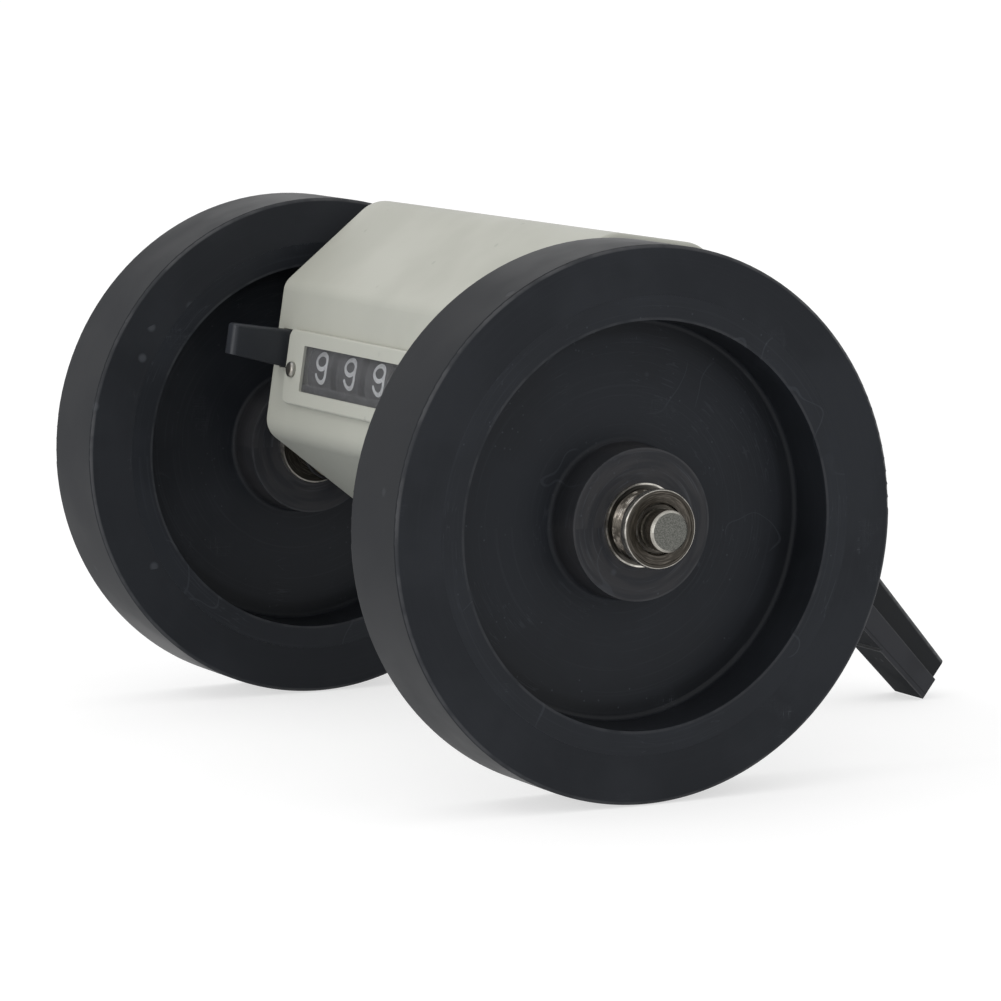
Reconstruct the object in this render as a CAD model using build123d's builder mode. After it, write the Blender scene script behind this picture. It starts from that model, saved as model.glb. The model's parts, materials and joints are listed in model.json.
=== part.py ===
from build123d import *
from math import acos, atan2, cos, degrees, hypot, pi, radians, sin, sqrt, tan
import os

# Cable length counter: two measuring rollers on one shaft drive a five-figure counter.
# Millimetres. +X runs along the shaft, +Y to the back, +Z up, and z = 0 is the table top.
# The housing and all that it holds lean back about the shaft, so their outlines are drawn
# on section planes whose local axes are (back, up), with the shaft axis at (0, 0).

# ---- rollers and shaft -------------------------------------------------------------------
METRE_TURNS = 3                                       # three turns of the rollers are one metre
ROLLER_RADIUS = 1000 / METRE_TURNS / (2 * pi)
ROLLER_INNER_X = 62.7
ROLLER_WIDTH = 19.3
CORE_RADIUS = 43.6
RIM_BORE = 38.9
WEB_DEPTH = 11.0
WEB_THICKNESS = 4.2
HUB_INSET = 2.85
HUB_RADIUS = 14.6
HUB_DRAFT = 0.35
TYRE_EDGE = 0.7
TYRE_SEAT_GAP = 0.01

SHAFT_RADIUS = 4.0
SHAFT_HALF = 90.2
SHAFT_CHAMFER = 0.5
SLEEVE_RADIUS = 5.0
SLEEVE_INNER_X = 57.0
SLEEVE_OUTER_X = 85.9
FLANGE_RADIUS = 8.0
FLANGE_THICKNESS = 1.4
WASHER_RADIUS = 8.0
WASHER_THICKNESS = 0.7
NUT_RADIUS = 7.55
NUT_BARREL_RADIUS = 6.95
NUT_RIM = 1.9
NUT_OUTER_X = 86.5
NUT_RECESS_RADIUS = 6.6
NUT_RECESS = 0.8
RELIEF_WIDTH = 0.7                                    # groove that ends the shaft's free journal
RELIEF_DEPTH = 0.3
PIN_RADIUS = 1.0
PIN_X = 60.0
RUNNING_FIT = 0.04                                    # radial clearance of every running fit
SEAT_GAP = 0.02                                       # radial clearance of what is clamped or pressed

# ---- housing -----------------------------------------------------------------------------
BODY_TILT = 8.7
LEFT_END = -55.0
RIGHT_END = 50.0
WALL = 1.6
END_WALL = 2.0
FRONT = -17.5
SHELL_CENTRE = 11.5
REAR = 2 * SHELL_CENTRE - FRONT
SHOULDER_UP = 34.0
ROOF_UP = 53.8
ROOF_FRONT = 0.6
ROOF_REAR = 2 * SHELL_CENTRE - ROOF_FRONT
CHIN_UP = 2.7
CHIN_SLOPE = 29.2
BELLY_UP = -12.0
ROOF_ROUND = 8.0
SHOULDER_ROUND = 4.0
CHIN_ROUND = 5.0
BELLY_ROUND = 3.0
END_ROUND = 1.5

BUSH_RADIUS = 5.4
BUSH_FLANGE_RADIUS = 6.0
BUSH_FLANGE = 0.8
BUSH_LENGTH = 6.0
BOSS_RADIUS = 7.4

DOOR_HALF = 46.5
DOOR_LOW = 5.6
DOOR_HIGH = 31.6
COVER_MARGIN = 3.0
COVER_THICKNESS = 2.0
COVER_SCREW_INSET = 3.4
M3_RADIUS = 1.45
M3_HOLE = 1.5
M3_HEAD_RADIUS = 2.8
M3_HEAD_HEIGHT = 1.9

# ---- counter -----------------------------------------------------------------------------
FIGURES = 5
WHEEL_PITCH = 13.5
UNITS_X = 21.4                                        # the tenths wheel, nearest the drive
COUNTER_BACK = -4.2
COUNTER_UP = 17.6
DRUM_RADIUS = 13.0
DRUM_HALF = 5.4
DRUM_WALL = 1.3
DRUM_EDGE = 0.3
WHEEL_HUB_RADIUS = 3.6
GEAR_FACE = 1.15
AXLE_RADIUS = 2.0
TRANSFER_MODULE = 1.0
WHEEL_TEETH = 20
PINION_TEETH = 10
PINION_AXLE_RADIUS = 1.5
PINION_BEARING = -16.6                                # direction of the pinion axle from the counter axle
LOCK_RING_RADIUS = 9.0

# ---- drive train -------------------------------------------------------------------------
SHAFT_TEETH = 14
IDLER_TEETH = 42
FIRST_MODULE = 0.5
SECOND_TEETH = 30
SECOND_MODULE = 0.6
SECOND_GEAR_X = 36.9
FIRST_GEAR_X = 39.5
GEAR_WIDTH = 2.0
SLEEVE_HUB_RADIUS = 3.4
IDLER_STUB_RADIUS = 1.5

# ---- tooth form shared by every gear: stub teeth, as small instrument gears have ----------
PRESSURE_ANGLE = 25.0
ADDENDUM = 0.7
DEDENDUM = 1.0
TOOTH_FILL = 0.90                                     # tooth thickness over half the pitch

# ---- counter frame -----------------------------------------------------------------------
PLATE_THICKNESS = 1.5
LEFT_PLATE_X = -46.1
RIGHT_PLATE_X = 34.5
PLATE_GAP = 0.3
PLATE_REAR = 25.0
TAB_REACH = 5.5
ROD_RADIUS = 2.2
ROD_SPIGOT = 1.4
ROD_PLACES = [(-8.0, 38.0), (16.0, 38.0)]
BAR_WIDTH = 3.9
BAR_HEIGHT = 6.0
BAR_UP = BELLY_UP + WALL + SEAT_GAP + BAR_HEIGHT / 2
FRAME_SCREW_XS = [-32.0, 20.0]
FRAME_SCREW_RADIUS = 1.25
FRAME_HEAD_RADIUS = 2.3
FRAME_HEAD_HEIGHT = 1.6
CLIP_RADIUS = 3.4
CLIP_THICKNESS = 0.6

# ---- window ------------------------------------------------------------------------------
WINDOW_LEFT = -37.3
WINDOW_RIGHT = 26.1
WINDOW_LOW = 12.25
WINDOW_HIGH = 21.8
BEZEL_MARGIN_X = 8.0
BEZEL_MARGIN_UP = 3.05
BEZEL_THICKNESS = 1.4
BEZEL_ROUND = 2.0
LENS_LIP = 1.2
LENS_THICKNESS = 0.8
OPENING_LOW = 11.2
OPENING_HIGH = 24.0
BEZEL_SCREW_INSET = 3.7
BEZEL_HEAD_RADIUS = 1.65
BEZEL_HEAD_HEIGHT = 1.0
BEZEL_SHANK_RADIUS = 0.95

# ---- reset key ---------------------------------------------------------------------------
KEY_X = -49.05
KEY_WIDTH = 4.1
KEY_TOP = 24.4
KEY_ROOT_LOW = 16.5
KEY_TIP_LOW = 17.95
KEY_TIP_BACK = -30.7
KEY_STROKE = 9.6
KEY_SLIDE_FIT = 0.15
KEY_TAIL_END = -2.0
KEY_SHOULDER = 0.6
KEY_FRONT_ROUND = 1.2
KEY_EDGE_ROUND = 0.7
RESET_TEETH = 8
RESET_MODULE = KEY_STROKE / (pi * RESET_TEETH)        # the full stroke turns the axle once
SPRING_RADIUS = 1.9
SPRING_WIRE = 0.25
SPRING_TURNS = 7
SPRING_SEAT_BACK = 20.0
SPIGOT_RADIUS = 1.2

# ---- rear arm ----------------------------------------------------------------------------
PIVOT_BACK = 50.8
PIVOT_UP = 22.26
ARM_PITCH = 47.5                                      # below the horizontal, in the resting pose
ARM_WIDTH = 11.2
ARM_RIB_WIDTH = 8.6
ARM_TIP_LOW = -4.3
ARM_TIP_HIGH = 5.35
ARM_TIP_SLANT = 1.6
ARM_STEP = 0.65
ARM_LOW_TAPER = 0.032
ARM_HIGH_TAPER = 0.040
ARM_PAD_START = 72.0
ARM_PAD_HEIGHT = 0.5
ARM_RIB_ROUND = 1.0
ARM_TIP_ROUND = 1.1
ARM_HUB_RADIUS = 7.2
BOLT_RADIUS = 3.0
EAR_GAP = 0.3
EAR_THICKNESS = 4.0
EAR_RADIUS = 7.0

# ---- what follows from the sizes above -----------------------------------------------------
TILT = radians(BODY_TILT)
PITCH = radians(ARM_PITCH)
PIVOT_REACH = PIVOT_BACK * cos(TILT) + PIVOT_UP * sin(TILT)
PIVOT_RISE = PIVOT_UP * cos(TILT) - PIVOT_BACK * sin(TILT)
# the arm is just long enough for its tip to stand on the table
ARM_LENGTH = (ROLLER_RADIUS + PIVOT_RISE + ARM_TIP_LOW * cos(PITCH)) / sin(PITCH)
# the rear-most point is the rounded corner at the arm's tip
TIP_EDGE = atan2(ARM_TIP_SLANT, ARM_TIP_HIGH - ARM_TIP_LOW)
RIB_EDGE = pi / 2 - atan2(ARM_HIGH_TAPER, 1)
CORNER_HALF = (RIB_EDGE - TIP_EDGE) / 2
CORNER_TRIM = ARM_TIP_ROUND * (cos((RIB_EDGE + TIP_EDGE) / 2 - PITCH) / cos(CORNER_HALF) - 1)
REACH = PIVOT_REACH + (ARM_LENGTH - ARM_TIP_SLANT) * cos(PITCH) + ARM_TIP_HIGH * sin(PITCH) - CORNER_TRIM
SHAFT_Y = -(REACH - ROLLER_RADIUS) / 2
SHAFT_Z = ROLLER_RADIUS

ROLLER_OUTER_X = ROLLER_INNER_X + ROLLER_WIDTH
HUB_OUTER_X = ROLLER_OUTER_X - HUB_INSET
HUB_INNER_X = ROLLER_INNER_X + HUB_INSET
WHEEL_XS = [UNITS_X - WHEEL_PITCH * place for place in range(FIGURES)]
PINION_DISTANCE = TRANSFER_MODULE * (WHEEL_TEETH + PINION_TEETH) / 2
BODY_MIDDLE = (LEFT_END + RIGHT_END) / 2


# ---- drawing aids ------------------------------------------------------------------------
def section(x):
    """Plane across the housing at x: local x runs back, local y up, and it faces +X."""
    return Plane(origin=(x, SHAFT_Y, SHAFT_Z), x_dir=(0, cos(TILT), -sin(TILT)), z_dir=(1, 0, 0))


def facing(back):
    """Plane that faces the reader at a depth in the housing: local x is +X, local y up."""
    origin = (0, SHAFT_Y + back * cos(TILT), SHAFT_Z - back * sin(TILT))
    return Plane(origin=origin, x_dir=(1, 0, 0), z_dir=(0, -cos(TILT), sin(TILT)))


def from_below(up):
    """Plane that faces down at a height in the housing: local x is +X, local y the front."""
    origin = (0, SHAFT_Y + up * sin(TILT), SHAFT_Z + up * cos(TILT))
    return Plane(origin=origin, x_dir=(1, 0, 0), z_dir=(0, -sin(TILT), -cos(TILT)))


def place(back, up, x=0.0):
    """Point of the model at (back, up) on the section at x."""
    return section(x).from_local_coords(Vector(back, up, 0))


def axis_through(back, up):
    """Axis along +X through (back, up)."""
    return Axis(tuple(place(back, up)), (1, 0, 0))


def lathe_plane(back, up):
    """Plane that holds the axis through (back, up): local x is +X, local y the radius."""
    return Plane(origin=tuple(place(back, up)), x_dir=(1, 0, 0), z_dir=(0, -1, 0))


def turned(outline, back=0.0, up=0.0):
    """Solid of revolution from (x, radius) corners, about the axis through (back, up)."""
    with BuildPart() as piece:
        with BuildSketch(lathe_plane(back, up)):
            with BuildLine():
                Polyline(*outline, close=True)
            make_face()
        revolve(axis=axis_through(back, up))
    return piece.part


def tube(x0, x1, inner, outer, back=0.0, up=0.0):
    """Plain ring between two sections."""
    return turned([(x0, inner), (x1, inner), (x1, outer), (x0, outer)], back, up)


def rod(x0, x1, radius, back=0.0, up=0.0, edge=0.2):
    """Plain round bar with broken edges between two sections."""
    outline = [
        (x0, 0), (x1, 0), (x1, radius - edge), (x1 - edge, radius), (x0 + edge, radius),
        (x0, radius - edge)]
    return turned(outline, back, up)


def circles(builder, radius):
    """Round edges of one radius."""
    rounds = builder.edges().filter_by(GeomType.CIRCLE)
    return rounds.filter_by(lambda edge: abs(edge.radius - radius) < 0.01)


def mirrored(part):
    """The same piece on the other end of the shaft."""
    return part.mirror(Plane.YZ)


def save(part, label):
    """Name a finished piece and write it to its own file."""
    part.label = label
    export_step(part, f"parts/{label}.step")


def involute(radius, base):
    """Roll angle at which an involute from the base circle reaches a radius."""
    return tan(acos(base / radius)) - acos(base / radius)


def gear_outline(teeth, module, first_tooth):
    """Corners of an involute gear with one tooth centred on the first_tooth direction, in degrees."""
    pitch_radius = teeth * module / 2
    tip = pitch_radius + ADDENDUM * module
    root = pitch_radius - DEDENDUM * module
    base = pitch_radius * cos(radians(PRESSURE_ANGLE))
    half = TOOTH_FILL * pi / (2 * teeth) + involute(pitch_radius, base)
    start = max(base, root)
    flank = [(start, half - involute(start, base)), (pitch_radius, half - involute(pitch_radius, base)),
             (tip, half - involute(tip, base))]
    if root < base:
        flank.insert(0, (root, half))
    corners = []
    for tooth in range(teeth):
        middle = radians(first_tooth) + 2 * pi * tooth / teeth
        rising = [(radius, middle - angle) for radius, angle in flank]
        falling = [(radius, middle + angle) for radius, angle in reversed(flank)]
        corners += [(radius * cos(angle), radius * sin(angle)) for radius, angle in rising + falling]
    return corners


def gear_blank(x0, width, teeth, module, first_tooth, centre, bore):
    """Straight gear between two sections, bored through."""
    across = section(x0)
    middle = Plane(origin=tuple(place(*centre, x0)), x_dir=across.x_dir, z_dir=across.z_dir)
    with BuildPart() as gear:
        with BuildSketch(middle):
            with BuildLine():
                Polyline(*gear_outline(teeth, module, first_tooth), close=True)
            make_face()
            if bore:
                Circle(bore, mode=Mode.SUBTRACT)
        extrude(amount=width)
    return gear.part


def direction(start, end):
    """Direction in degrees from one (back, up) place to another."""
    return degrees(atan2(end[1] - start[1], end[0] - start[0]))


def idler_place():
    """Where the idler meshes with both the shaft and the tenths wheel, on the rear side."""
    first = FIRST_MODULE * (SHAFT_TEETH + IDLER_TEETH) / 2
    second = SECOND_MODULE * SECOND_TEETH
    span = hypot(COUNTER_BACK, COUNTER_UP)
    along = (first ** 2 - second ** 2 + span ** 2) / (2 * span)
    across = sqrt(first ** 2 - along ** 2)
    toward = (COUNTER_BACK / span, COUNTER_UP / span)
    return (along * toward[0] + across * toward[1], along * toward[1] - across * toward[0])


COUNTER = (COUNTER_BACK, COUNTER_UP)
SHAFT = (0.0, 0.0)
IDLER = idler_place()
PINION_AXLE = (COUNTER_BACK + PINION_DISTANCE * cos(radians(PINION_BEARING)),
               COUNTER_UP + PINION_DISTANCE * sin(radians(PINION_BEARING)))


# ---- measuring rollers -------------------------------------------------------------------
def roller_core():
    """Moulded roller centre of the right side: deep dished web, drafted hub and rim."""
    web_outer = ROLLER_OUTER_X - WEB_DEPTH
    web_inner = web_outer - WEB_THICKNESS
    bore = SLEEVE_RADIUS + SEAT_GAP
    outline = [
        (HUB_INNER_X, bore), (HUB_OUTER_X, bore), (HUB_OUTER_X, HUB_RADIUS),
        (web_outer, HUB_RADIUS + HUB_DRAFT), (web_outer, RIM_BORE - HUB_DRAFT),
        (ROLLER_OUTER_X, RIM_BORE), (ROLLER_OUTER_X, CORE_RADIUS - TYRE_SEAT_GAP),
        (ROLLER_INNER_X, CORE_RADIUS - TYRE_SEAT_GAP), (ROLLER_INNER_X, RIM_BORE),
        (web_inner, RIM_BORE - HUB_DRAFT), (web_inner, HUB_RADIUS + HUB_DRAFT), (HUB_INNER_X, HUB_RADIUS)]
    with BuildPart() as core:
        add(turned(outline))
        fillet(circles(core, HUB_RADIUS + HUB_DRAFT), 1.0)
        fillet(circles(core, RIM_BORE - HUB_DRAFT), 1.0)
    return core.part


def tyre():
    """Solid rubber ring with softly rounded edges."""
    with BuildPart() as ring:
        add(tube(ROLLER_INNER_X, ROLLER_OUTER_X, CORE_RADIUS, ROLLER_RADIUS))
        fillet(circles(ring, ROLLER_RADIUS), TYRE_EDGE)
    return ring.part


def hub_sleeve():
    """Steel sleeve on the shaft: pinned collar, seating flange and threaded barrel."""
    bore = SHAFT_RADIUS + SEAT_GAP
    flange_x = HUB_INNER_X - FLANGE_THICKNESS
    outline = [
        (SLEEVE_INNER_X, bore), (SLEEVE_OUTER_X, bore), (SLEEVE_OUTER_X, SLEEVE_RADIUS - 0.4),
        (SLEEVE_OUTER_X - 0.4, SLEEVE_RADIUS), (HUB_INNER_X, SLEEVE_RADIUS), (HUB_INNER_X, FLANGE_RADIUS),
        (flange_x, FLANGE_RADIUS), (flange_x, SLEEVE_RADIUS), (SLEEVE_INNER_X + 0.3, SLEEVE_RADIUS),
        (SLEEVE_INNER_X, SLEEVE_RADIUS - 0.3)]
    with BuildPart() as sleeve:
        add(turned(outline))
        with Locations(Plane(origin=(PIN_X, SHAFT_Y, SHAFT_Z), z_dir=(0, 0, 1))):
            Cylinder(PIN_RADIUS, 4 * SLEEVE_RADIUS, mode=Mode.SUBTRACT)
    return sleeve.part


def clamp_nut():
    """Round steel nut that clamps the roller: barrel, wider rim and a shallow front recess."""
    inner_x = HUB_OUTER_X + WASHER_THICKNESS
    rim_x = NUT_OUTER_X - NUT_RIM
    recess_x = NUT_OUTER_X - NUT_RECESS
    bore = SLEEVE_RADIUS + SEAT_GAP
    return turned([
        (inner_x, bore), (recess_x, bore), (recess_x, NUT_RECESS_RADIUS), (NUT_OUTER_X, NUT_RECESS_RADIUS),
        (NUT_OUTER_X, NUT_RADIUS - 0.4), (NUT_OUTER_X - 0.4, NUT_RADIUS), (rim_x + 0.2, NUT_RADIUS),
        (rim_x, NUT_RADIUS - 0.2), (rim_x, NUT_BARREL_RADIUS), (inner_x + 0.3, NUT_BARREL_RADIUS),
        (inner_x, NUT_BARREL_RADIUS - 0.3)])


def journal(start):
    """Left half of the shaft, from -start to its chamfered free end."""
    groove = SLEEVE_OUTER_X + RELIEF_WIDTH
    return turned([
        (-SHAFT_HALF, 0), (-start, 0), (-start, SHAFT_RADIUS), (-SLEEVE_OUTER_X, SHAFT_RADIUS),
        (-SLEEVE_OUTER_X, SHAFT_RADIUS - RELIEF_DEPTH), (-groove, SHAFT_RADIUS - RELIEF_DEPTH),
        (-groove, SHAFT_RADIUS), (SHAFT_CHAMFER - SHAFT_HALF, SHAFT_RADIUS),
        (-SHAFT_HALF, SHAFT_RADIUS - SHAFT_CHAMFER)])


def main_shaft():
    """Ground steel shaft with the drive pinion milled into it and a pin hole near each end."""
    pinion_start = FIRST_GEAR_X - 0.4
    pinion_end = FIRST_GEAR_X + GEAR_WIDTH + 0.4
    gap_to_idler = direction(SHAFT, IDLER) + 180 / SHAFT_TEETH
    with BuildPart() as shaft:
        add(journal(-pinion_start))
        add(mirrored(journal(pinion_end)))
        pinion_length = pinion_end - pinion_start
        add(gear_blank(pinion_start, pinion_length, SHAFT_TEETH, FIRST_MODULE, gap_to_idler, SHAFT, 0))
        for side in (-1, 1):
            with Locations(Plane(origin=(side * PIN_X, SHAFT_Y, SHAFT_Z), z_dir=(0, 0, 1))):
                Cylinder(PIN_RADIUS, 3 * SHAFT_RADIUS, mode=Mode.SUBTRACT)
    return shaft.part


def sleeve_pins():
    """Two cross pins that lock the sleeves to the shaft."""
    with BuildPart() as pins:
        for side in (-1, 1):
            with Locations(Plane(origin=(side * PIN_X, SHAFT_Y, SHAFT_Z), z_dir=(0, 0, 1))):
                Cylinder(PIN_RADIUS - SEAT_GAP, 2 * SLEEVE_RADIUS - 0.2)
    return pins.part


def make_rollers():
    """Everything that turns with the shaft."""
    washer = tube(HUB_OUTER_X, HUB_OUTER_X + WASHER_THICKNESS, SLEEVE_RADIUS + SEAT_GAP, WASHER_RADIUS)
    core = roller_core()
    # both rollers are mounted the same way round, dished side towards +X
    across = -(ROLLER_INNER_X + ROLLER_OUTER_X)
    save(core, "roller_core_right")
    save(core.moved(Location((across, 0, 0))), "roller_core_left")
    for side, place_it in (("right", lambda part: part), ("left", mirrored)):
        save(place_it(tyre()), f"tyre_{side}")
        save(place_it(hub_sleeve()), f"hub_sleeve_{side}")
        save(place_it(washer), f"hub_washer_{side}")
        save(place_it(clamp_nut()), f"clamp_nut_{side}")
    thrust_bore = SHAFT_RADIUS + RUNNING_FIT
    thrust_radius = SLEEVE_RADIUS + 1.6
    play = BUSH_FLANGE + 0.1
    save(tube(-SLEEVE_INNER_X, LEFT_END - play, thrust_bore, thrust_radius), "thrust_washer_left")
    save(tube(RIGHT_END + play, SLEEVE_INNER_X, thrust_bore, thrust_radius), "spacer_tube_right")
    save(main_shaft(), "main_shaft")
    save(sleeve_pins(), "sleeve_pins")


# ---- housing -----------------------------------------------------------------------------
def shell_outline(inset):
    """Cross-section of the housing, six-sided with rounded corners, shrunk by an inset."""
    belly_run = (CHIN_UP - BELLY_UP) / tan(radians(CHIN_SLOPE))
    with BuildSketch() as outline:
        with BuildLine():
            Polyline((FRONT, CHIN_UP), (FRONT, SHOULDER_UP), (ROOF_FRONT, ROOF_UP), (ROOF_REAR, ROOF_UP),
                     (REAR, SHOULDER_UP), (REAR, CHIN_UP), (REAR - belly_run, BELLY_UP),
                     (FRONT + belly_run, BELLY_UP), close=True)
        make_face()
        corners = outline.vertices().group_by(Axis.Y)
        fillet(corners[-1], ROOF_ROUND)
        corners = outline.vertices().sort_by(Axis.X)
        fillet([v for v in corners if abs(v.Y - SHOULDER_UP) < 0.01], SHOULDER_ROUND)
        fillet([v for v in outline.vertices() if abs(v.Y - CHIN_UP) < 0.01], CHIN_ROUND)
        fillet([v for v in outline.vertices() if abs(v.Y - BELLY_UP) < 0.01], BELLY_ROUND)
        if inset:
            offset(amount=-inset, kind=Kind.INTERSECTION, mode=Mode.REPLACE)
    return outline.sketch


def casing():
    """Die-cast housing: a hollow shell with both ends closed, open at the back and at the window."""
    door_middle = (DOOR_LOW + DOOR_HIGH) / 2
    window_middle = (WINDOW_LEFT + WINDOW_RIGHT) / 2
    with BuildPart() as shell:
        with BuildSketch(section(LEFT_END)):
            add(shell_outline(0))
        extrude(amount=RIGHT_END - LEFT_END)
        end_edges = shell.faces().filter_by(Axis.X).edges()
        fillet(end_edges, END_ROUND)
        with BuildSketch(section(LEFT_END + END_WALL)):
            add(shell_outline(WALL))
        extrude(amount=RIGHT_END - LEFT_END - 2 * END_WALL, mode=Mode.SUBTRACT)
        # bearing bosses inside the end walls, trimmed to the housing's own section
        for end, inward in ((LEFT_END, 1), (RIGHT_END, -1)):
            with BuildSketch(section(end + inward * END_WALL)):
                add(shell_outline(WALL / 2))
                Circle(BOSS_RADIUS, mode=Mode.INTERSECT)
            extrude(amount=inward * (BUSH_LENGTH - END_WALL))
            with BuildSketch(section(end)):
                Circle(BUSH_RADIUS)
            extrude(amount=inward * (BUSH_LENGTH + 1), mode=Mode.SUBTRACT)
        # the opening in the back, and the four bosses that take its cover's screws
        with BuildSketch(facing(REAR)):
            with Locations((BODY_MIDDLE, door_middle)):
                RectangleRounded(2 * DOOR_HALF, DOOR_HIGH - DOOR_LOW, 3)
        extrude(amount=3 * WALL, both=True, mode=Mode.SUBTRACT)
        # the opening behind the window plate
        with BuildSketch(facing(FRONT)):
            with Locations((window_middle, (OPENING_LOW + OPENING_HIGH) / 2)):
                Rectangle(WINDOW_RIGHT - WINDOW_LEFT + 2, OPENING_HIGH - OPENING_LOW)
        extrude(amount=2 * WALL, both=True, mode=Mode.SUBTRACT)
        # the slot for the reset key
        with BuildSketch(facing(FRONT)):
            with Locations((KEY_X, (KEY_TOP + KEY_ROOT_LOW) / 2)):
                Rectangle(KEY_WIDTH + 2 * KEY_SLIDE_FIT, KEY_TOP - KEY_ROOT_LOW + 2 * KEY_SLIDE_FIT)
        extrude(amount=2 * WALL, both=True, mode=Mode.SUBTRACT)
        # blind bosses behind the two window screws
        with BuildSketch(facing(FRONT + WALL / 2)):
            with Locations(*bezel_screw_places()):
                Circle(BEZEL_SHANK_RADIUS + 1.3)
        extrude(amount=-3.6)
        with BuildSketch(facing(FRONT)):
            with Locations(*bezel_screw_places()):
                Circle(BEZEL_SHANK_RADIUS + SEAT_GAP)
        extrude(amount=-4.0, mode=Mode.SUBTRACT)
        with BuildSketch(facing(REAR - WALL / 2)):
            with Locations(*cover_screw_places()):
                Circle(M3_HOLE + 1.3)
        extrude(amount=7.0)
        with BuildSketch(facing(REAR)):
            with Locations(*cover_screw_places()):
                Circle(M3_HOLE)
        extrude(amount=6.5, both=True, mode=Mode.SUBTRACT)
        with BuildSketch(from_below(BELLY_UP)):
            with Locations(*frame_screw_places()):
                Circle(FRAME_SCREW_RADIUS + 0.1)
        extrude(amount=-2 * WALL, mode=Mode.SUBTRACT)
    return shell.part


def bezel_screw_places():
    """Centres of the window plate's two screws on the front face."""
    up = (WINDOW_LOW + WINDOW_HIGH) / 2 - 0.6
    left = WINDOW_LEFT - BEZEL_MARGIN_X + BEZEL_SCREW_INSET
    right = WINDOW_RIGHT + BEZEL_MARGIN_X - BEZEL_SCREW_INSET
    return [(left, up), (right, up)]


def cover_screw_places():
    """Centres of the back cover's four screws, in the strips left and right of the opening."""
    reach = DOOR_HALF + 0.4
    ups = (DOOR_LOW + 4.5, DOOR_HIGH - 4.5)
    return [(BODY_MIDDLE + side * reach, up) for side in (-1, 1) for up in ups]


def back_cover():
    """Back plate with the two ears that carry the arm."""
    middle = (DOOR_LOW + DOOR_HIGH) / 2
    height = DOOR_HIGH - DOOR_LOW + 2 * COVER_MARGIN
    with BuildPart() as cover:
        with BuildSketch(facing(REAR)):
            with Locations((BODY_MIDDLE, middle)):
                RectangleRounded(2 * (DOOR_HALF + COVER_MARGIN), height, 3)
            with Locations(*cover_screw_places()):
                Circle(M3_HOLE + 0.05, mode=Mode.SUBTRACT)
        extrude(amount=-COVER_THICKNESS)
        for side in (-1, 1):
            inner = side * (ARM_WIDTH / 2 + EAR_GAP)
            with BuildSketch(section(inner)) as ear:
                with BuildLine():
                    Polyline((REAR + 1, PIVOT_UP - EAR_RADIUS - 3), (REAR + 1, PIVOT_UP + EAR_RADIUS + 3),
                             (PIVOT_BACK, PIVOT_UP + EAR_RADIUS), (PIVOT_BACK, PIVOT_UP - EAR_RADIUS),
                             close=True)
                make_face()
                with Locations((PIVOT_BACK, PIVOT_UP)):
                    Circle(EAR_RADIUS)
                    Circle(BOLT_RADIUS + SEAT_GAP, mode=Mode.SUBTRACT)
            extrude(amount=side * EAR_THICKNESS)
    return cover.part


def cap_screw(plane, shank_radius, length, head_radius, head_height):
    """Pan-head screw standing on a plane, head on the side that it faces."""
    with BuildPart() as screw:
        with BuildSketch(plane):
            Circle(head_radius)
        extrude(amount=head_height)
        rim = screw.edges().filter_by(GeomType.CIRCLE).sort_by(Axis(plane.origin, plane.z_dir))[-1]
        fillet(rim, head_height * 0.6)
        with BuildSketch(plane):
            Circle(shank_radius)
        extrude(amount=-length)
    return screw.part


def screw_set(plane, places, shank_radius, length, head_radius, head_height):
    """A row of like screws as one group of separate solids."""
    screws = []
    for x, up in places:
        origin = plane.from_local_coords(Vector(x, up, 0))
        spot = Plane(origin=tuple(origin), x_dir=plane.x_dir, z_dir=plane.z_dir)
        screws.append(cap_screw(spot, shank_radius, length, head_radius, head_height))
    return Compound(children=screws)


def bush(end, inward):
    """Flanged bronze bush in one end wall; inward is +1 on the left and -1 on the right."""
    bore = SHAFT_RADIUS + RUNNING_FIT
    barrel = BUSH_RADIUS - SEAT_GAP
    flange_x = end - inward * BUSH_FLANGE
    inner_x = end + inward * BUSH_LENGTH
    return turned([
        (inner_x, bore), (flange_x, bore), (flange_x, BUSH_FLANGE_RADIUS), (end, BUSH_FLANGE_RADIUS),
        (end, barrel), (inner_x, barrel)])


def window_bezel():
    """Raised plate round the window, rebated at the back for the lens."""
    left = WINDOW_LEFT - BEZEL_MARGIN_X
    right = WINDOW_RIGHT + BEZEL_MARGIN_X
    low = WINDOW_LOW - BEZEL_MARGIN_UP
    high = WINDOW_HIGH + BEZEL_MARGIN_UP
    centre = ((WINDOW_LEFT + WINDOW_RIGHT) / 2, (WINDOW_LOW + WINDOW_HIGH) / 2)
    with BuildPart() as plate:
        with BuildSketch(facing(FRONT)):
            with Locations(((left + right) / 2, (low + high) / 2)):
                RectangleRounded(right - left, high - low, BEZEL_ROUND)
        extrude(amount=BEZEL_THICKNESS)
        front = plate.faces().sort_by(Axis.Y)[0]
        fillet(front.edges(), 0.5)
        with BuildSketch(facing(FRONT)):
            with Locations(centre):
                RectangleRounded(WINDOW_RIGHT - WINDOW_LEFT, WINDOW_HIGH - WINDOW_LOW, 0.4)
        extrude(amount=BEZEL_THICKNESS, mode=Mode.SUBTRACT)
        with BuildSketch(facing(FRONT)):
            with Locations(centre):
                Rectangle(WINDOW_RIGHT - WINDOW_LEFT + 2 * LENS_LIP, WINDOW_HIGH - WINDOW_LOW + 2 * LENS_LIP)
        extrude(amount=LENS_THICKNESS + SEAT_GAP, mode=Mode.SUBTRACT)
        with BuildSketch(facing(FRONT)):
            with Locations(*bezel_screw_places()):
                Circle(BEZEL_SHANK_RADIUS + 0.1)
        extrude(amount=BEZEL_THICKNESS, mode=Mode.SUBTRACT)
    return plate.part


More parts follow.
